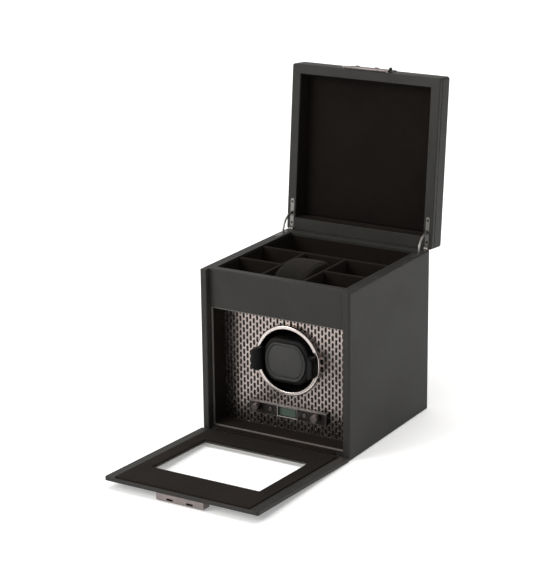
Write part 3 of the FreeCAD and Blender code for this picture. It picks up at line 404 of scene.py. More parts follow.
def board(name, dark, light, rough=0.75):
    s = Shade(name)
    fibre = s.noise(1.0, 5.0, 0.65, vector=s.stretch(60.0, 420.0, 420.0), distort=0.4)
    speck = s.noise(1500.0, 2.0)
    tone = s.math("ADD", s.math("MULTIPLY", fibre, 0.7), s.math("MULTIPLY", speck, 0.3))
    s.set(Base_Color=s.blend(tone, dark, light), Roughness=s.span(fibre, 0.3, 0.7, rough - 0.08, rough + 0.1), Normal=s.bump(tone, 0.4, 0.00012, s.bevel(0.0004)))
    return s.mat


def circuit(name):
    s = Shade(name)
    tracks = s.cells(420.0, "DISTANCE_TO_EDGE")
    pad = s.math("GREATER_THAN", s.cells(260.0), 0.62)
    colour = s.blend(s.span(tracks, 0.0, 0.06, 0.6, 0.0), (0.012, 0.06, 0.028), (0.03, 0.13, 0.06))
    colour = s.blend(s.math("MULTIPLY", pad, 0.5), colour, (0.45, 0.40, 0.28))
    s.set(Base_Color=colour, Roughness=s.span(tracks, 0.0, 0.1, 0.3, 0.42), Normal=s.bump(tracks, 0.3, 0.00005))
    return s.mat


CASE = leather("charcoal_leather", (0.0182, 0.0176, 0.0165), (0.034, 0.0330, 0.0308), spec=0.17)
PAD = leather("pad_leather", (0.025, 0.0248, 0.0238), (0.044, 0.0436, 0.0420), rough=0.5, grain=1300.0, relief=0.0001, spec=0.3)
SUEDE = suede("black_suede", (0.0049, 0.0034, 0.0027), (0.0138, 0.0098, 0.0077), sheen=0.05, tint=(0.6, 0.5, 0.42))
LIDSUEDE = suede("lid_suede", (0.0028, 0.0019, 0.0015), (0.0078, 0.0055, 0.0043), sheen=0.04, tint=(0.6, 0.5, 0.42))
DOORSUEDE = suede("front_suede", (0.0046, 0.0034, 0.0028), (0.0130, 0.0098, 0.0082), sheen=0.05, tint=(0.6, 0.5, 0.42))
PILLOW = suede("pillow_suede", (0.0042, 0.0036, 0.0028), (0.0118, 0.0100, 0.0080), sheen=0.08, tint=(0.58, 0.52, 0.44))
FELT = suede("base_felt", (0.006, 0.006, 0.006), (0.018, 0.018, 0.018), sheen=0.05, relief=0.0004)
# Large wear_and_highlight amounts paint bright highlight lines along the edges of satin_trim, strip_bronze and
# hinge_chrome.
TRIM = metal("satin_trim", (0.25, 0.225, 0.21), (0.19, 0.172, 0.16), rough=0.32, wear_and_highlight=0.8)
# The plate's slot walls get painted shade (wall_shade).
PLATE = metal("bronze_plate", (0.40, 0.343, 0.318), (0.34, 0.292, 0.271), rough=0.24, relief=0.000004, grain=(900.0, 900.0, 60.0), wall_shade=(0.035, 0.030, 0.027))
GUN = metal("gunmetal", (0.47, 0.425, 0.41), (0.40, 0.36, 0.35), rough=0.27, grain=(40.0, 900.0, 900.0))
RINGMETAL = metal("ring_gunmetal", (0.62, 0.56, 0.53), (0.52, 0.47, 0.45), rough=0.19, grain=(700.0, 60.0, 700.0))
KNOB = metal("knob_gunmetal", (0.21, 0.178, 0.173), (0.15, 0.130, 0.126), rough=0.3, grain=(700.0, 60.0, 700.0))
STRIP = metal("strip_bronze", (0.066, 0.059, 0.055), (0.048, 0.043, 0.040), rough=0.36, wear_and_highlight=0.9)
CHROME = metal("hinge_chrome", (0.22, 0.21, 0.20), (0.165, 0.158, 0.15), rough=0.38, wear_and_highlight=0.9, grain=(500.0, 40.0, 500.0))
STEEL = metal("pin_steel", (0.55, 0.54, 0.53), (0.45, 0.44, 0.44), rough=0.28)
BLACK = plastic("soft_black", (0.0030, 0.0026, 0.0026), (0.0068, 0.0060, 0.0058), rough=0.52, spec=0.18)
DRUMBLACK = plastic("drum_black", (0.003, 0.0028, 0.0027), (0.007, 0.0066, 0.0062), rough=0.55)
BEZEL = plastic("gloss_bezel", (0.006, 0.006, 0.006), (0.012, 0.012, 0.012), rough=0.16, relief=0.00001, coat=0.3)
COVER = plastic("textured_cover", (0.010, 0.010, 0.010), (0.022, 0.022, 0.022), rough=0.55, relief=0.00012, scale=1500.0)
LAMP = plastic("lamp_lens", (0.05, 0.045, 0.042), (0.10, 0.09, 0.085), rough=0.14, relief=0.00001, coat=0.3)
ENCODER = plastic("encoder_black", (0.01, 0.01, 0.01), (0.03, 0.03, 0.03))
NATURAL = plastic("gear_nylon", (0.55, 0.53, 0.48), (0.70, 0.68, 0.62), rough=0.5)
BRASS = metal("turned_brass", (0.72, 0.52, 0.22), (0.62, 0.44, 0.18), rough=0.25)
BRACKET = plastic("bracket_paint", (0.02, 0.02, 0.021), (0.04, 0.04, 0.042), rough=0.5)
BOARD = board("dark_board", (0.012, 0.011, 0.010), (0.022, 0.020, 0.018))
GLASS = glass("clear_glass")
PANE = plastic("pane_edge", (0.30, 0.29, 0.275), (0.40, 0.385, 0.365), rough=0.2, relief=0.00001)
EDGE_HIGHLIGHT = plastic("silver_edge_highlight", (0.36, 0.335, 0.315), (0.46, 0.43, 0.405), rough=0.3, relief=0.00001, spec=0.6)
TRIM = plastic("trim_edge", (0.135, 0.122, 0.112), (0.185, 0.168, 0.155), rough=0.3, relief=0.00001, spec=0.5)
LATCH = metal("latch_metal", (0.235, 0.203, 0.199), (0.187, 0.164, 0.160), rough=0.42, grain=(60.0, 900.0, 900.0))
LCD = lcd("lcd_face")
PCB = circuit("circuit_board")

BY_SLOT = {
    "case_leather": CASE, "case_board": BOARD, "base_felt": FELT, "suede_lining": SUEDE, "pillow_suede": PILLOW, "trim_metal": TRIM,
    "perforated_metal": PLATE, "gunmetal": GUN, "strip_black": STRIP, "knob_gunmetal": KNOB, "button_black": KNOB, "bezel_black": BEZEL,
    "lcd_grey": LCD, "lamp_lens": LAMP, "drum_black": DRUMBLACK, "cuff_black": BLACK, "cuff_leather": PAD, "hinge_chrome": CHROME,
    "pin_steel": STEEL, "clear_glass": GLASS, "cover_plastic": COVER, "circuit_board": PCB, "encoder_plastic": ENCODER,
    "gear_plastic": NATURAL, "pinion_brass": BRASS, "motor_steel": STEEL, "bracket_metal": BRACKET,
}
SLOT_OF = {p["node"]: p["material_slot"] for p in frame["record"]["subparts"]}
for node_name, obj in NODES.items():
    use = BY_SLOT[SLOT_OF[node_name]]
    if not obj.material_slots:
        obj.data.materials.append(use)
    for holder in obj.material_slots:
        holder.material = use
NODES["front_lining"].material_slots[0].material = DOORSUEDE
NODES["drum_ring"].material_slots[0].material = RINGMETAL
for latch_node in ("lid_latch_plate", "latch_flap", "latch_pin", "front_strike"):
    for holder in NODES[latch_node].material_slots:
        holder.material = LATCH
for node_name, use in (("chamber_trim", TRIM), ("base_panel", SUEDE), ("lid_leaf_screws", STRIP), ("case_leaf_screws", STRIP)):
    for holder in NODES[node_name].material_slots:
        holder.material = use
for dark_node in ("front_hinge_lugs", "front_hinge_pins", "plate_backing"):
    for holder in NODES[dark_node].material_slots:
        holder.material = DRUMBLACK

# ---------------------------------------------------------- perforated plate
PLATE_X, PLATE_Z0, PLATE_Z1 = 91.4, 8.1, 157.0
PLATE_Y0, PLATE_Y1 = -65.3, -64.75
SLOT_W, SLOT_H, PITCH_X, PITCH_Z = 2.95, 7.1, 4.74, 9.2
FIRST_X, FIRST_Z = -73.3, 98.2


def clip(poly, nx, nz, limit):
    """Keep the part of a convex outline where nx * x + nz * z >= limit."""
    out = []
    for i, p in enumerate(poly):
        q = poly[(i + 1) % len(poly)]
        a, b = nx * p[0] + nz * p[1] - limit, nx * q[0] + nz * q[1] - limit
        if a >= 0:
            out.append(p)
        if (a >= 0) != (b >= 0):
            t = a / (a - b)
            out.append((p[0] + t * (q[0] - p[0]), p[1] + t * (q[1] - p[1])))
    return out


def area(poly):
    return 0.5 * sum(p[0] * q[1] - q[0] * p[1] for p, q in zip(poly, poly[1:] + poly[:1]))


def obround(cx, cz):
    r, straight = SLOT_W / 2, SLOT_H / 2 - SLOT_W / 2
    pts = []
    for k in range(7):
        a = math.pi * k / 6
        pts.append((cx + r * math.cos(a), cz + straight + r * math.sin(a)))
    for k in range(7):
        a = math.pi + math.pi * k / 6
        pts.append((cx + r * math.cos(a), cz - straight + r * math.sin(a)))
    return pts


def plate_slots():
    out = []
    for i in range(-6, 42):
        cx = FIRST_X + i * PITCH_X
        for j in range(-14, 14):
            cz = FIRST_Z + (j + (0.5 if i % 2 else 0.0)) * PITCH_Z
            if abs(cx) > PLATE_X + 3 or not PLATE_Z0 - 4 < cz < PLATE_Z1 + 4:
                continue
            poly = obround(cx, cz)
            for nx, nz, lim in ((1, 0, -PLATE_X + 1.0), (-1, 0, -PLATE_X + 1.0), (0, 1, PLATE_Z0 + 1.0), (0, -1, -PLATE_Z1 + 1.0)):
                poly = clip(poly, nx, nz, lim) if poly else poly
            dx, dz = cx, cz - DRUM_Z
            dist = math.hypot(dx, dz)
            if poly and dist < 50:
                if dist < 38:
                    poly = []
                else:
                    nx, nz = dx / dist, dz / dist
                    poly = clip(poly, nx, nz, 43.9 + nz * DRUM_Z)
            if poly and abs(cx) < 54 and 22 < cz < 45:
                if abs(cx) > 50.0 and 28 < cz < 39:
                    poly = clip(poly, 1 if cx > 0 else -1, 0, 50.9)
                elif cz > 33.5:
                    poly = clip(poly, 0, 1, 39.3)
                else:
                    poly = clip(poly, 0, -1, -27.7)
            if len(poly) > 2 and area(poly) > 1.2:
                clean = [p for k, p in enumerate(poly) if math.hypot(p[0] - poly[k - 1][0], p[1] - poly[k - 1][1]) > 0.03]
                if len(clean) > 2:
                    out.append(clean)
    return out


def perforated():
    holes = plate_slots()
    holes.append([(43.0 * math.cos(2 * math.pi * k / 96), DRUM_Z + 43.0 * math.sin(2 * math.pi * k / 96)) for k in range(96)])
    holes.append([(-50, 28.5), (50, 28.5), (50, 38.5), (-50, 38.5)])
    outline = [(-PLATE_X, PLATE_Z0), (PLATE_X, PLATE_Z0), (PLATE_X, PLATE_Z1), (-PLATE_X, PLATE_Z1)]
    points, edges = [], []
    for poly in [outline] + holes:
        base = len(points)
        points += [Vector(p) for p in poly]
        edges += [(base + k, base + (k + 1) % len(poly)) for k in range(len(poly))]
    verts, _, tris, _, _, _ = delaunay_2d_cdt(points, edges, [], 1, 1e-5)
    bins = {}
    for poly in holes:
        for gx in range(int(min(p[0] for p in poly) // 8), int(max(p[0] for p in poly) // 8) + 1):
            for gz in range(int(min(p[1] for p in poly) // 8), int(max(p[1] for p in poly) // 8) + 1):
                bins.setdefault((gx, gz), []).append(poly)

    def in_hole(x, z):
        for poly in bins.get((int(x // 8), int(z // 8)), ()):
            if all((q[0] - p[0]) * (z - p[1]) - (q[1] - p[1]) * (x - p[0]) >= -1e-9 for p, q in zip(poly, poly[1:] + poly[:1])):
                return True
        return False

    kept = []
    for tri in tris:
        if not in_hole(sum(verts[k][0] for k in tri) / 3, sum(verts[k][1] for k in tri) / 3):
            kept.append(tuple(tri))
    count = {}
    for t in kept:
        for a, b in zip(t, t[1:] + t[:1]):
            count[frozenset((a, b))] = count.get(frozenset((a, b)), 0) + 1
    n = len(verts)
    # Front and back faces of the plate, joined by straight walls along every open edge.
    pts = [(v[0], PLATE_Y0, v[1]) for v in verts] + [(v[0], PLATE_Y1, v[1]) for v in verts]
    faces = list(kept) + [tuple(n + k for k in reversed(t)) for t in kept]
    for t in kept:
        for a, b in zip(t, t[1:] + t[:1]):
            if count[frozenset((a, b))] == 1:
                faces.append((a, n + a, n + b, b))
    return pts, faces


plate = make("perforated_plate", *perforated(), PLATE, "case", "perforated_metal", angle=30)
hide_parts("face_plate")

# ------------------------------------------------------------------ drum ring


def arc(cy, cr, rad, a0, a1, n):
    return [(cy + rad * math.cos(math.radians(a0 + (a1 - a0) * k / n)), cr + rad * math.sin(math.radians(a0 + (a1 - a0) * k / n))) for k in range(n + 1)]


ring_profile = (
    [(-60.5, 39.3), (-60.5, 39.38), (-65.95, 39.38), (-65.95, 44.4)]
    + arc(-69.4, 42.7, 1.8, 90, 180, 8)
    + [(-71.15, 41.6)]
    + arc(-70.2, 40.3, 1.0, 180, 270, 5)
)
ring = make("drum_ring_bright", *lathe(ring_profile, 160), RINGMETAL, "drum", "gunmetal", angle=40)
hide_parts("drum_ring")

# Painted highlight: a thin bright edge round the display, standing in for the light caught on the bezel's edges.


def display_edge_highlight():
    prof = [("out", 0.0, 0.0), ("out", 0.0, 0.55), ("out", 0.12, 0.72), ("in", 0.12, 0.72), ("in", 0.0, 0.55), ("in", 0.0, 0.0)]
    verts, faces = profile_frame((-14.2, 14.0, 26.1, 39.0), (-13.2, 13.55, 27.1, 38.6), prof, 1.0, 0.5)
    return [(x, -71.5 - h, z) for x, z, h in verts], faces


# Painted highlight: a lighter rim round the control strip's front face, standing in for the light caught on its edges.
def strip_edge_highlight():
    prof = [("out", 0.0, 0.0), ("out", 0.0, 0.3), ("out", 0.1, 0.42), ("in", 0.08, 0.42), ("in", 0.0, 0.3), ("in", 0.0, 0.0)]
    verts, faces = profile_frame((-53.6, 53.6, 25.2, 39.4), (-53.15, 53.15, 25.65, 38.95), prof, 1.2, 0.8)
    return [(x, -71.15 - h, z) for x, z, h in verts], faces


strip_highlight_rim = make("control_strip_edge_highlight", *strip_edge_highlight(), TRIM, "case", "gunmetal", angle=40)
display_highlight = make("display_edge_highlight", *display_edge_highlight(), EDGE_HIGHLIGHT, "case", "gunmetal", angle=40)

# Painted highlight: a lighter sheet on the control strip's upper side, where light falls on it.


def strip_top_highlight():
    loops = []
    for x, inset in ((-53.5, 0.25), (-53.2, 0.0), (-30.0, 0.0), (0.0, 0.0), (30.0, 0.0), (53.2, 0.0), (53.5, 0.25)):
        loops.append([(x, y, z) for y, z in rrect(-71.35 + inset, -65.35 - inset, 39.2, 39.9 - inset, 0.25, 4)])
    return loft(loops)


strip_highlight_sheet = make("control_strip_top_highlight", *strip_top_highlight(), TRIM, "case", "gunmetal", angle=40)

# ---------------------------------------------------------------------- cuff


def barrel(half_x, half_z, bow, flat=None, n_side=20, n_top=14, corner=4.0):
    """Outline with flat top and bottom and bowed sides, corners eased; counter-clockwise in x, z."""
    radius = half_x + bow
    pts = []

    def side_x(z):
        x = math.sqrt(max(0.0, radius * radius - z * z)) - bow
        return min(x, flat) if flat is not None else x

    zs = [-half_z + 2 * half_z * k / n_side for k in range(n_side + 1)]
    right = [(side_x(z), z) for z in zs]
    top = [(side_x(half_z) * (1 - 2 * k / n_top), half_z) for k in range(1, n_top)]
    left = [(-side_x(z), z) for z in reversed(zs)]
    low = [(-side_x(half_z) * (1 - 2 * k / n_top), -half_z) for k in range(1, n_top)]
    pts = right + top + left + low
    # ease the corners by averaging neighbours a few times
    for _ in range(int(corner)):
        pts = [((a[0] + 2 * b[0] + c[0]) / 4, (a[1] + 2 * b[1] + c[1]) / 4) for a, b, c in zip(pts[-1:] + pts[:-1], pts, pts[1:] + pts[:1])]
    return pts


def barrel_loop(inset, y, half_x, half_z, bow, flat=None, corner=4.0):
    return [(x, y, DRUM_Z + z) for x, z in barrel(half_x - inset, half_z - inset, bow, None if flat is None else flat - inset, corner=corner)]


body_loops = [barrel_loop(1.0, -32.0, 33.2, 28.0, 3.6, 31.6), barrel_loop(0.0, -33.0, 33.2, 28.0, 3.6, 31.6)]
for y in (-45.0, -58.0, -70.2):
    body_loops.append(barrel_loop(0.0, y, 33.2, 28.0, 3.6, 31.6))
for k in range(1, 7):
    a = math.radians(15.0 * k)
    body_loops.append(barrel_loop(3.4 * (1 - math.cos(a)), -70.2 - 3.4 * math.sin(a), 33.2, 28.0, 3.6, 31.6))
cuff = make("cuff_shell", *loft(body_loops), BLACK, "cuff", "cuff_black", angle=40)
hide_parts("cuff_body")

# Padded leather front: a piped edge, a sewn valley and a crowned middle.
PAD_PROFILE = [
    (0.45, 0.0), (0.2, 0.5), (0.02, 1.0), (0.05, 1.5), (0.35, 2.0), (0.85, 2.32), (1.45, 2.42), (2.05, 2.28), (2.5, 1.9), (2.8, 1.3), (3.0, 0.75),
    (3.25, 0.62), (3.5, 0.75), (3.8, 1.2), (4.3, 1.62), (5.2, 1.92), (7.0, 2.12), (9.5, 2.28), (13.0, 2.42), (17.0, 2.52), (21.0, 2.56),
]
pad_loops = [barrel_loop(d, -73.6 - h, 28.0, 23.2, 0.2, corner=2.0) for d, h in PAD_PROFILE]
pad = make("cuff_pad", *loft(pad_loops), PAD, "cuff", "cuff_leather", angle=80)
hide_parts("cuff_front_pad")

# End caps: soft-edged lugs that lean in over the cuff, and the tongues that grip the cup.


def lug_loop(sign, y, x_in, x_out, z_in, z_out, r):
    """Four-sided outline, taller at the cuff than outside, corners eased."""
    corners = [(x_in, -z_in, 0.8), (x_out, -z_out, r), (x_out, z_out, r), (x_in, z_in, 0.8)]
    pts = []
    for k, (x, z, rad) in enumerate(corners):
        px, pz, _ = corners[k - 1]
        qx, qz, _ = corners[(k + 1) % 4]
        d0, d1 = Vector((px - x, pz - z)), Vector((qx - x, qz - z))
        rad = min(rad, 0.45 * d0.length, 0.45 * d1.length)
        d0.normalize()
        d1.normalize()
        for m in range(9):
            t = m / 8
            q = Vector((x, z)) + d0 * rad * (1 - t) ** 2 + d1 * rad * t ** 2
            pts.append((sign * q.x, y, DRUM_Z + q.y))
    return pts


LUG = [
    (-72.0, 32.1, 42.6, 13.6, 11.6), (-72.6, 31.7, 43.1, 14.1, 12.1), (-76.0, 31.7, 43.2, 14.2, 12.2), (-79.0, 32.3, 43.2, 14.2, 12.2),
    (-81.4, 33.5, 43.2, 14.1, 12.1), (-83.4, 35.0, 43.1, 13.8, 11.9), (-84.9, 36.4, 42.7, 13.3, 11.4), (-85.9, 37.6, 42.1, 12.6, 10.8),
    (-86.45, 38.6, 41.4, 11.8, 10.1), (-86.65, 39.4, 40.7, 11.0, 9.4),
]


def cap(sign):
    head = loft([lug_loop(sign, y, a, b, zi, zo, 3.4) for y, a, b, zi, zo in LUG])
    a, b = (31.7, 36.5) if sign > 0 else (-36.5, -31.7)
    tongue = loft([[(x, y, DRUM_Z + z) for x, z in rrect(a + i, b - i, -10.4 + i, 10.4 - i, 1.2, 5)] for i, y in ((0.0, -71.9), (0.0, -50.0), (0.2, -45.5), (0.9, -44.1))])
    return head, tongue


caps = make("cuff_caps", *join_lists([*cap(1), *cap(-1)]), BLACK, "cuff", "cuff_black", angle=40)
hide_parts("cuff_end_caps")

# ---------------------------------------------------------------------- tray
TRAY, TRAY_F, TRAY_B = 88.5, -84.6, 89.5
FLOOR_Z, DIV_TOP = 165.0, 205.6

rear = make("rear_divider_suede", *soft_box(-TRAY, TRAY, 20.1, 24.1, FLOOR_Z, DIV_TOP, 1.6, 0.3, wave=0.12, seed=3), SUEDE, "case", "suede_lining")
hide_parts("rear_divider")
columns = make(
    "column_divider_suede",
    *join_lists([soft_box(s * 28.5 - 2.0, s * 28.5 + 2.0, TRAY_F, 20.7, FLOOR_Z, DIV_TOP, 1.6, 0.3, wave=0.12, seed=s) for s in (-1, 1)]),
    SUEDE, "case", "suede_lining",
)
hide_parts("column_dividers")
cross = make(
    "cross_divider_suede",
    *join_lists([soft_box(a, b, -35.0, -31.0, FLOOR_Z, DIV_TOP, 1.6, 0.3, wave=0.12, seed=a) for a, b in ((-TRAY, -29.9), (29.9, TRAY))]),
    SUEDE, "case", "suede_lining",
)
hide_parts("cross_dividers")


PILLOW_SIDE = [
    (-2.9, 165.3), (-2.5, 172.0), (-2.4, 182.0), (-2.4, 192.0), (-2.5, 199.0), (-3.1, 203.6), (-4.6, 206.6), (-7.2, 208.6), (-11.0, 209.8), (-16.0, 210.5),
    (-22.0, 210.95), (-28.0, 211.1), (-34.0, 211.0), (-40.0, 210.6), (-46.0, 209.8), (-52.0, 208.5), (-57.5, 206.6), (-62.5, 203.8), (-66.5, 199.8), (-69.0, 194.6),
    (-70.3, 188.6), (-70.6, 181.0), (-70.5, 173.0), (-70.1, 165.3),
]


def pillow_mesh():
    """Watch pillow: arched in side view, soft at its two ends, a sewn seam round each end."""
    cy, cz = -36.5, 184.0
    under = [(-70.1 + (67.2) * k / 10.0, 165.3) for k in range(1, 10)]
    outline = PILLOW_SIDE + under
    loops = []
    stations = [-1.0, -0.992, -0.972, -0.945, -0.915, -0.885, -0.862, -0.85, -0.838, -0.815, -0.76, -0.65, -0.48, -0.25, 0.0, 0.25, 0.48, 0.65, 0.76, 0.815, 0.838, 0.85, 0.862, 0.885, 0.915, 0.945, 0.972, 0.992, 1.0]
    for s in stations:
        e = abs(s)
        t = max(0.0, (e - 0.85) / 0.15)
        shrink = 3.4 * (1 - math.sqrt(max(0.0, 1 - t * t)))
        seam = 0.75 * math.exp(-(((e - 0.85) / 0.012) ** 2))
        sag = 0.5 * (e / 0.85) ** 2 if e < 0.85 else 0.5
        loop = []
        for y, z in outline:
            low = min(1.0, (z - 165.3) / 12.0)
            d = Vector((y - cy, z - cz))
            d.normalize()
            inset = (shrink + seam + sag) * low
            wob = 0.3 * noise.noise(Vector((s * 1.7, y * 0.06, z * 0.06 + 5.0))) * low
            x = 22.1 * s
            loop.append((x, y - d.x * inset + d.x * min(0.0, wob), z - d.y * inset + d.y * min(0.0, wob)))
        loops.append(loop)
    return loft(loops)


pillow = make("watch_cushion", *pillow_mesh(), PILLOW, "pillow", "pillow_suede", angle=75)
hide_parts("watch_pillow")
puff(pillow, 0.0024, 0.0022, Vector((-0.0222, -0.0706, 0.1653)), Vector((0.0222, -0.0024, 0.2111)), seam_x=0.0186)

# --------------------------------------------------------------- lid lining
RX, RF, RB, R_LOW, R_TOP = 91.3, -94.6, 89.2, 207.5, 229.4


def lid_tray():
    """Suede on the recess walls with a soft upper edge, and a padded panel on its floor."""
    t = 1.15
    wall = []
    for inset, z in ((0.0, R_TOP), (0.0, R_LOW + 0.5), (0.15, R_LOW + 0.15), (0.5, R_LOW), (0.9, R_LOW + 0.15), (t, R_LOW + 0.6), (t, R_TOP - 3.0), (t, R_TOP - 1.2), (t + 0.3, R_TOP - 0.9)):
        wall.append([(x, y, z) for x, y in rrect(-RX + inset, RX - inset, RF + inset, RB - inset, 0.6, 5)])
    wall_mesh = loft(wall, ring=True)
    panel = []
    for inset, z in ((t + 0.1, R_TOP - 0.2), (t + 0.1, R_TOP - 1.3), (t + 0.3, R_TOP - 1.9), (t + 0.8, R_TOP - 2.35), (t + 1.6, R_TOP - 2.6), (t + 4.0, R_TOP - 2.8), (t + 12.0, R_TOP - 2.95), (t + 30.0, R_TOP - 3.05), (t + 60.0, R_TOP - 3.1), (t + 85.0, R_TOP - 3.1)):
        panel.append([(x, y, z) for x, y in rrect(-RX + inset, RX - inset, RF + inset, RB - inset, 1.4, 5)])
    return join_lists([wall_mesh, loft(panel)])


lid_suede = make("lid_suede", *lid_tray(), LIDSUEDE, "lid", "suede_lining", LID, angle=50)
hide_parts("lid_lining")

# Dark seam in the groove where the lid's rim meets its cover.
LID_HALF, LID_F, LID_B = 103.0, -106.3, 105.0


def seam_ring():
    loops = []
    for inset, z in ((0.5, 213.3), (0.06, 213.5), (-0.02, 213.8), (-0.02, 214.6), (0.06, 214.9), (0.5, 215.1), (3.0, 215.1), (3.0, 213.3)):
        loops.append([(x, y, z) for x, y in rrect(-LID_HALF + inset, LID_HALF - inset, LID_F + inset, LID_B - inset, max(0.5, 3.0 - inset), 6)])
    return loft(loops, ring=True)


seam = make("lid_seam", *seam_ring(), LIDSUEDE, "lid", "suede_lining", LID, angle=50)

# Leather lip along the lid's rear edge, between the hinges; it closes the joint when the lid stands open.


def rear_lip():
    loops = []
    for x, inset in ((-92.8, 0.4), (-92.4, 0.0), (-60.0, 0.0), (-30.0, 0.0), (0.0, 0.0), (30.0, 0.0), (60.0, 0.0), (92.4, 0.0), (92.8, 0.4)):
        loops.append([(x, y, z) for y, z in rrect(102.0, 105.6 - inset, 207.23, 211.0, 0.6, 5)])
    return loft(loops)


lip = make("lid_rear_lip", *rear_lip(), CASE, "lid", "case_leather", LID, angle=40)

# Leather lip along the top of the case's back, under the lid's rear edge.


def back_lip():
    loops = []
    for x, inset in ((-97.6, 0.5), (-97.1, 0.0), (-60.0, 0.0), (-30.0, 0.0), (0.0, 0.0), (30.0, 0.0), (60.0, 0.0), (97.1, 0.0), (97.6, 0.5)):
        loops.append([(x, y, z) for y, z in rrect(101.0, 105.5 - inset, 202.6 + inset, 204.93, 0.35, 5)])
    return loft(loops)


under_lip = make("case_rear_lip", *back_lip(), CASE, "case", "case_leather", angle=40)

# ------------------------------------------------------- lining of the front
F_OUT = (-90.0, 90.0, 5.8, 203.8)
F_IN = (-72.0, 72.0, 42.3, 153.5)


def front_suede():
    """Suede frame round the window, edges turned over; drawn flat in x, z and then laid on the closed front."""
    prof = [
        ("out", 0.0, 0.0), ("out", 0.0, 0.8), ("out", 0.15, 1.2), ("out", 0.5, 1.48), ("out", 1.0, 1.58), ("out", 4.0, 1.6),
        ("in", 3.0, 1.6), ("in", 0.9, 1.58), ("in", 0.4, 1.45), ("in", 0.1, 1.15), ("in", 0.0, 0.75), ("in", 0.0, 0.0),
    ]
    verts, faces = profile_frame(F_OUT, F_IN, prof, 1.6, 0.4)
    return [(x, -102.3 + h, z) for x, z, h in verts], faces


lining = make("front_suede_frame", *front_suede(), DOORSUEDE, "front", "suede_lining", FRONT, angle=50)
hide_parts("front_lining")

# Polished edge of the pane, seen inside the window.


def pane_edge():
    prof = [("out", 0.02, -106.9), ("out", 0.02, -104.5), ("in", 0.0, -104.5), ("in", 0.0, -106.9)]
    verts, faces = profile_frame((-72.0, 72.0, 42.3, 153.5), (-71.7, 71.7, 42.6, 153.2), prof, 0.3, 0.2)
    return [(x, y, z) for x, z, y in verts], faces


edge_ring = make("pane_edge", *pane_edge(), PANE, "front", "clear_glass", FRONT, angle=40)

# Painted shadow: dark lines round the lid's hinge leaves and the slots their stays pass through, standing in for the
# shadow gaps there.


def leaf_shadow_lines():
    out = []
    for mid in (-96.0, 96.0):
        for half, low, high, edge, corner in ((3.15, 64.15, 101.2, 0.65, 2.8), (1.75, 80.7, 87.4, 0.6, 1.4)):
            loops = []
            for inset, z in ((0.0, 207.5), (0.0, 207.2), (0.08, 207.13), (edge - 0.08, 207.13), (edge, 207.2), (edge, 207.5)):
                loops.append([(x, y, z) for x, y in rrect(mid - half + inset, mid + half - inset, low + inset, high - inset, max(0.3, corner - inset), 6)])
            out.append(loft(loops, ring=True))
    return join_lists(out)


lines = make("leaf_shadow_outline", *leaf_shadow_lines(), DRUMBLACK, "lid", "case_leather", LID, angle=50)

# Lined hem in front of the base, which closes the joint under the open front.


def hem():
    loops = []
    for x, inset in ((-81.8, 0.5), (-81.3, 0.0), (-40.0, 0.0), (0.0, 0.0), (40.0, 0.0), (81.3, 0.0), (81.8, 0.5)):
        loops.append([(x, y, z) for y, z in rrect(-101.8 + inset, -96.6, 1.05, 5.35 - inset, 0.6, 5)])
    return loft(loops)


front_hem = make("base_front_hem", *hem(), SUEDE, "case", "suede_lining", angle=40)

# Dark grip on the latch flap's finger tab.


def grip():
    loops = []
    for inset, y in ((0.5, -107.9), (0.0, -108.4), (0.0, -111.6), (0.3, -112.3), (0.9, -112.6)):
        loops.append([(x, y, z) for x, z in rrect(31.65 + inset, 34.15 - inset, 208.6 + inset, 213.9 - inset, 0.7, 5)])
    return loft(loops)


tab = make("latch_grip", *grip(), DRUMBLACK, "latch", "cuff_black", LID, angle=50)

# --------------------------------------------------------------------- stage
floor_mesh = bpy.data.meshes.new("floor")
floor_mesh.from_pydata([(-14, -14, 0), (14, -14, 0), (14, 14, 0), (-14, 14, 0)], [], [(0, 1, 2, 3)])
floor = bpy.data.objects.new("floor", floor_mesh)
bpy.context.scene.collection.objects.link(floor)
fs = Shade("pale_floor")
fs.set(Base_Color=fs.blend(fs.noise(1.2, 2.0), (0.90, 0.90, 0.90), (0.92, 0.92, 0.92)), Roughness=0.85, Specular_IOR_Level=0.15)
reach = fs.node("ShaderNodeVectorMath", 1, settings={"operation": "LENGTH"}, i0=fs.coord)
fs.set(Emission_Color=(1.0, 1.0, 1.0), Emission_Strength=fs.span(reach, 0.7, 2.2, 0.3, 0.62))
floor_mesh.materials.append(fs.mat)

world = bpy.data.worlds.new("studio")
bpy.context.scene.world = world
world.use_nodes = True
back = world.node_tree.nodes["Background"]
back.inputs[0].default_value = (1.0, 1.0, 1.0, 1.0)
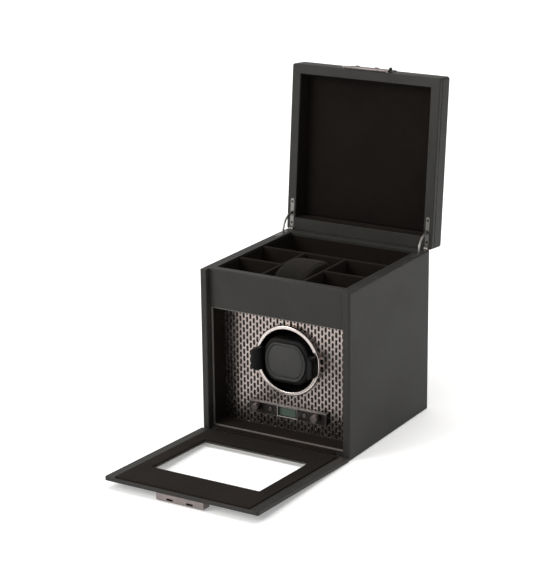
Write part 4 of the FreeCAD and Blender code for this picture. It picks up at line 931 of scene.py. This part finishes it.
# The sky is dimmer on the right, like a studio wall that gets no light.
heading = world.node_tree.nodes.new("ShaderNodeTexCoord")
parts = world.node_tree.nodes.new("ShaderNodeSeparateXYZ")
ramp = world.node_tree.nodes.new("ShaderNodeMapRange")
for slot, value in ((1, -0.15), (2, 0.75), (3, 0.70), (4, 0.16)):
    ramp.inputs[slot].default_value = value
world.node_tree.links.new(heading.outputs["Generated"], parts.inputs[0])
world.node_tree.links.new(parts.outputs[0], ramp.inputs[0])
world.node_tree.links.new(ramp.outputs[0], back.inputs[1])


def softbox(name, place, aim, size, power, colour=(1.0, 0.985, 0.96)):
    data = bpy.data.lights.new(name, "AREA")
    data.shape = "RECTANGLE"
    data.size, data.size_y = size
    data.energy = power
    data.color = colour
    obj = bpy.data.objects.new(name, data)
    bpy.context.scene.collection.objects.link(obj)
    obj.location = place
    obj.rotation_euler = (Vector(aim) - Vector(place)).to_track_quat("-Z", "Y").to_euler()
    return obj


softbox("overhead", (0.1, 0.1, 2.4), (0, 0, 0.1), (2.2, 2.2), 36.0)
softbox("front_left", (-1.5, -2.2, 1.6), (0, -0.05, 0.15), (1.4, 1.4), 44.0)

# -------------------------------------------------------------------- camera
AZ, EL, ROLL = math.radians(31.0136), math.radians(17.474), math.radians(-0.5798)
eye = Vector((1151.985, -2004.422, 892.845)) * MM
toward = Vector((math.sin(AZ) * math.cos(EL), -math.cos(AZ) * math.cos(EL), math.sin(EL)))
across = Vector((0, 0, 1)).cross(toward).normalized()
upward = toward.cross(across)
cx = across * math.cos(ROLL) + upward * math.sin(ROLL)
cy = -across * math.sin(ROLL) + upward * math.cos(ROLL)
cam_data = bpy.data.cameras.new("camera")
cam = bpy.data.objects.new("camera", cam_data)
bpy.context.scene.collection.objects.link(cam)
cam.matrix_world = Matrix.Translation(eye) @ Matrix((cx, cy, toward)).transposed().to_4x4()
cam_data.sensor_width = 36.0
cam_data.sensor_fit = "AUTO"
cam_data.lens = 1994.996 * 36.0 / 585.0
cam_data.clip_end = 60.0
bpy.context.scene.camera = cam
bpy.context.scene.view_settings.view_transform = "Standard"
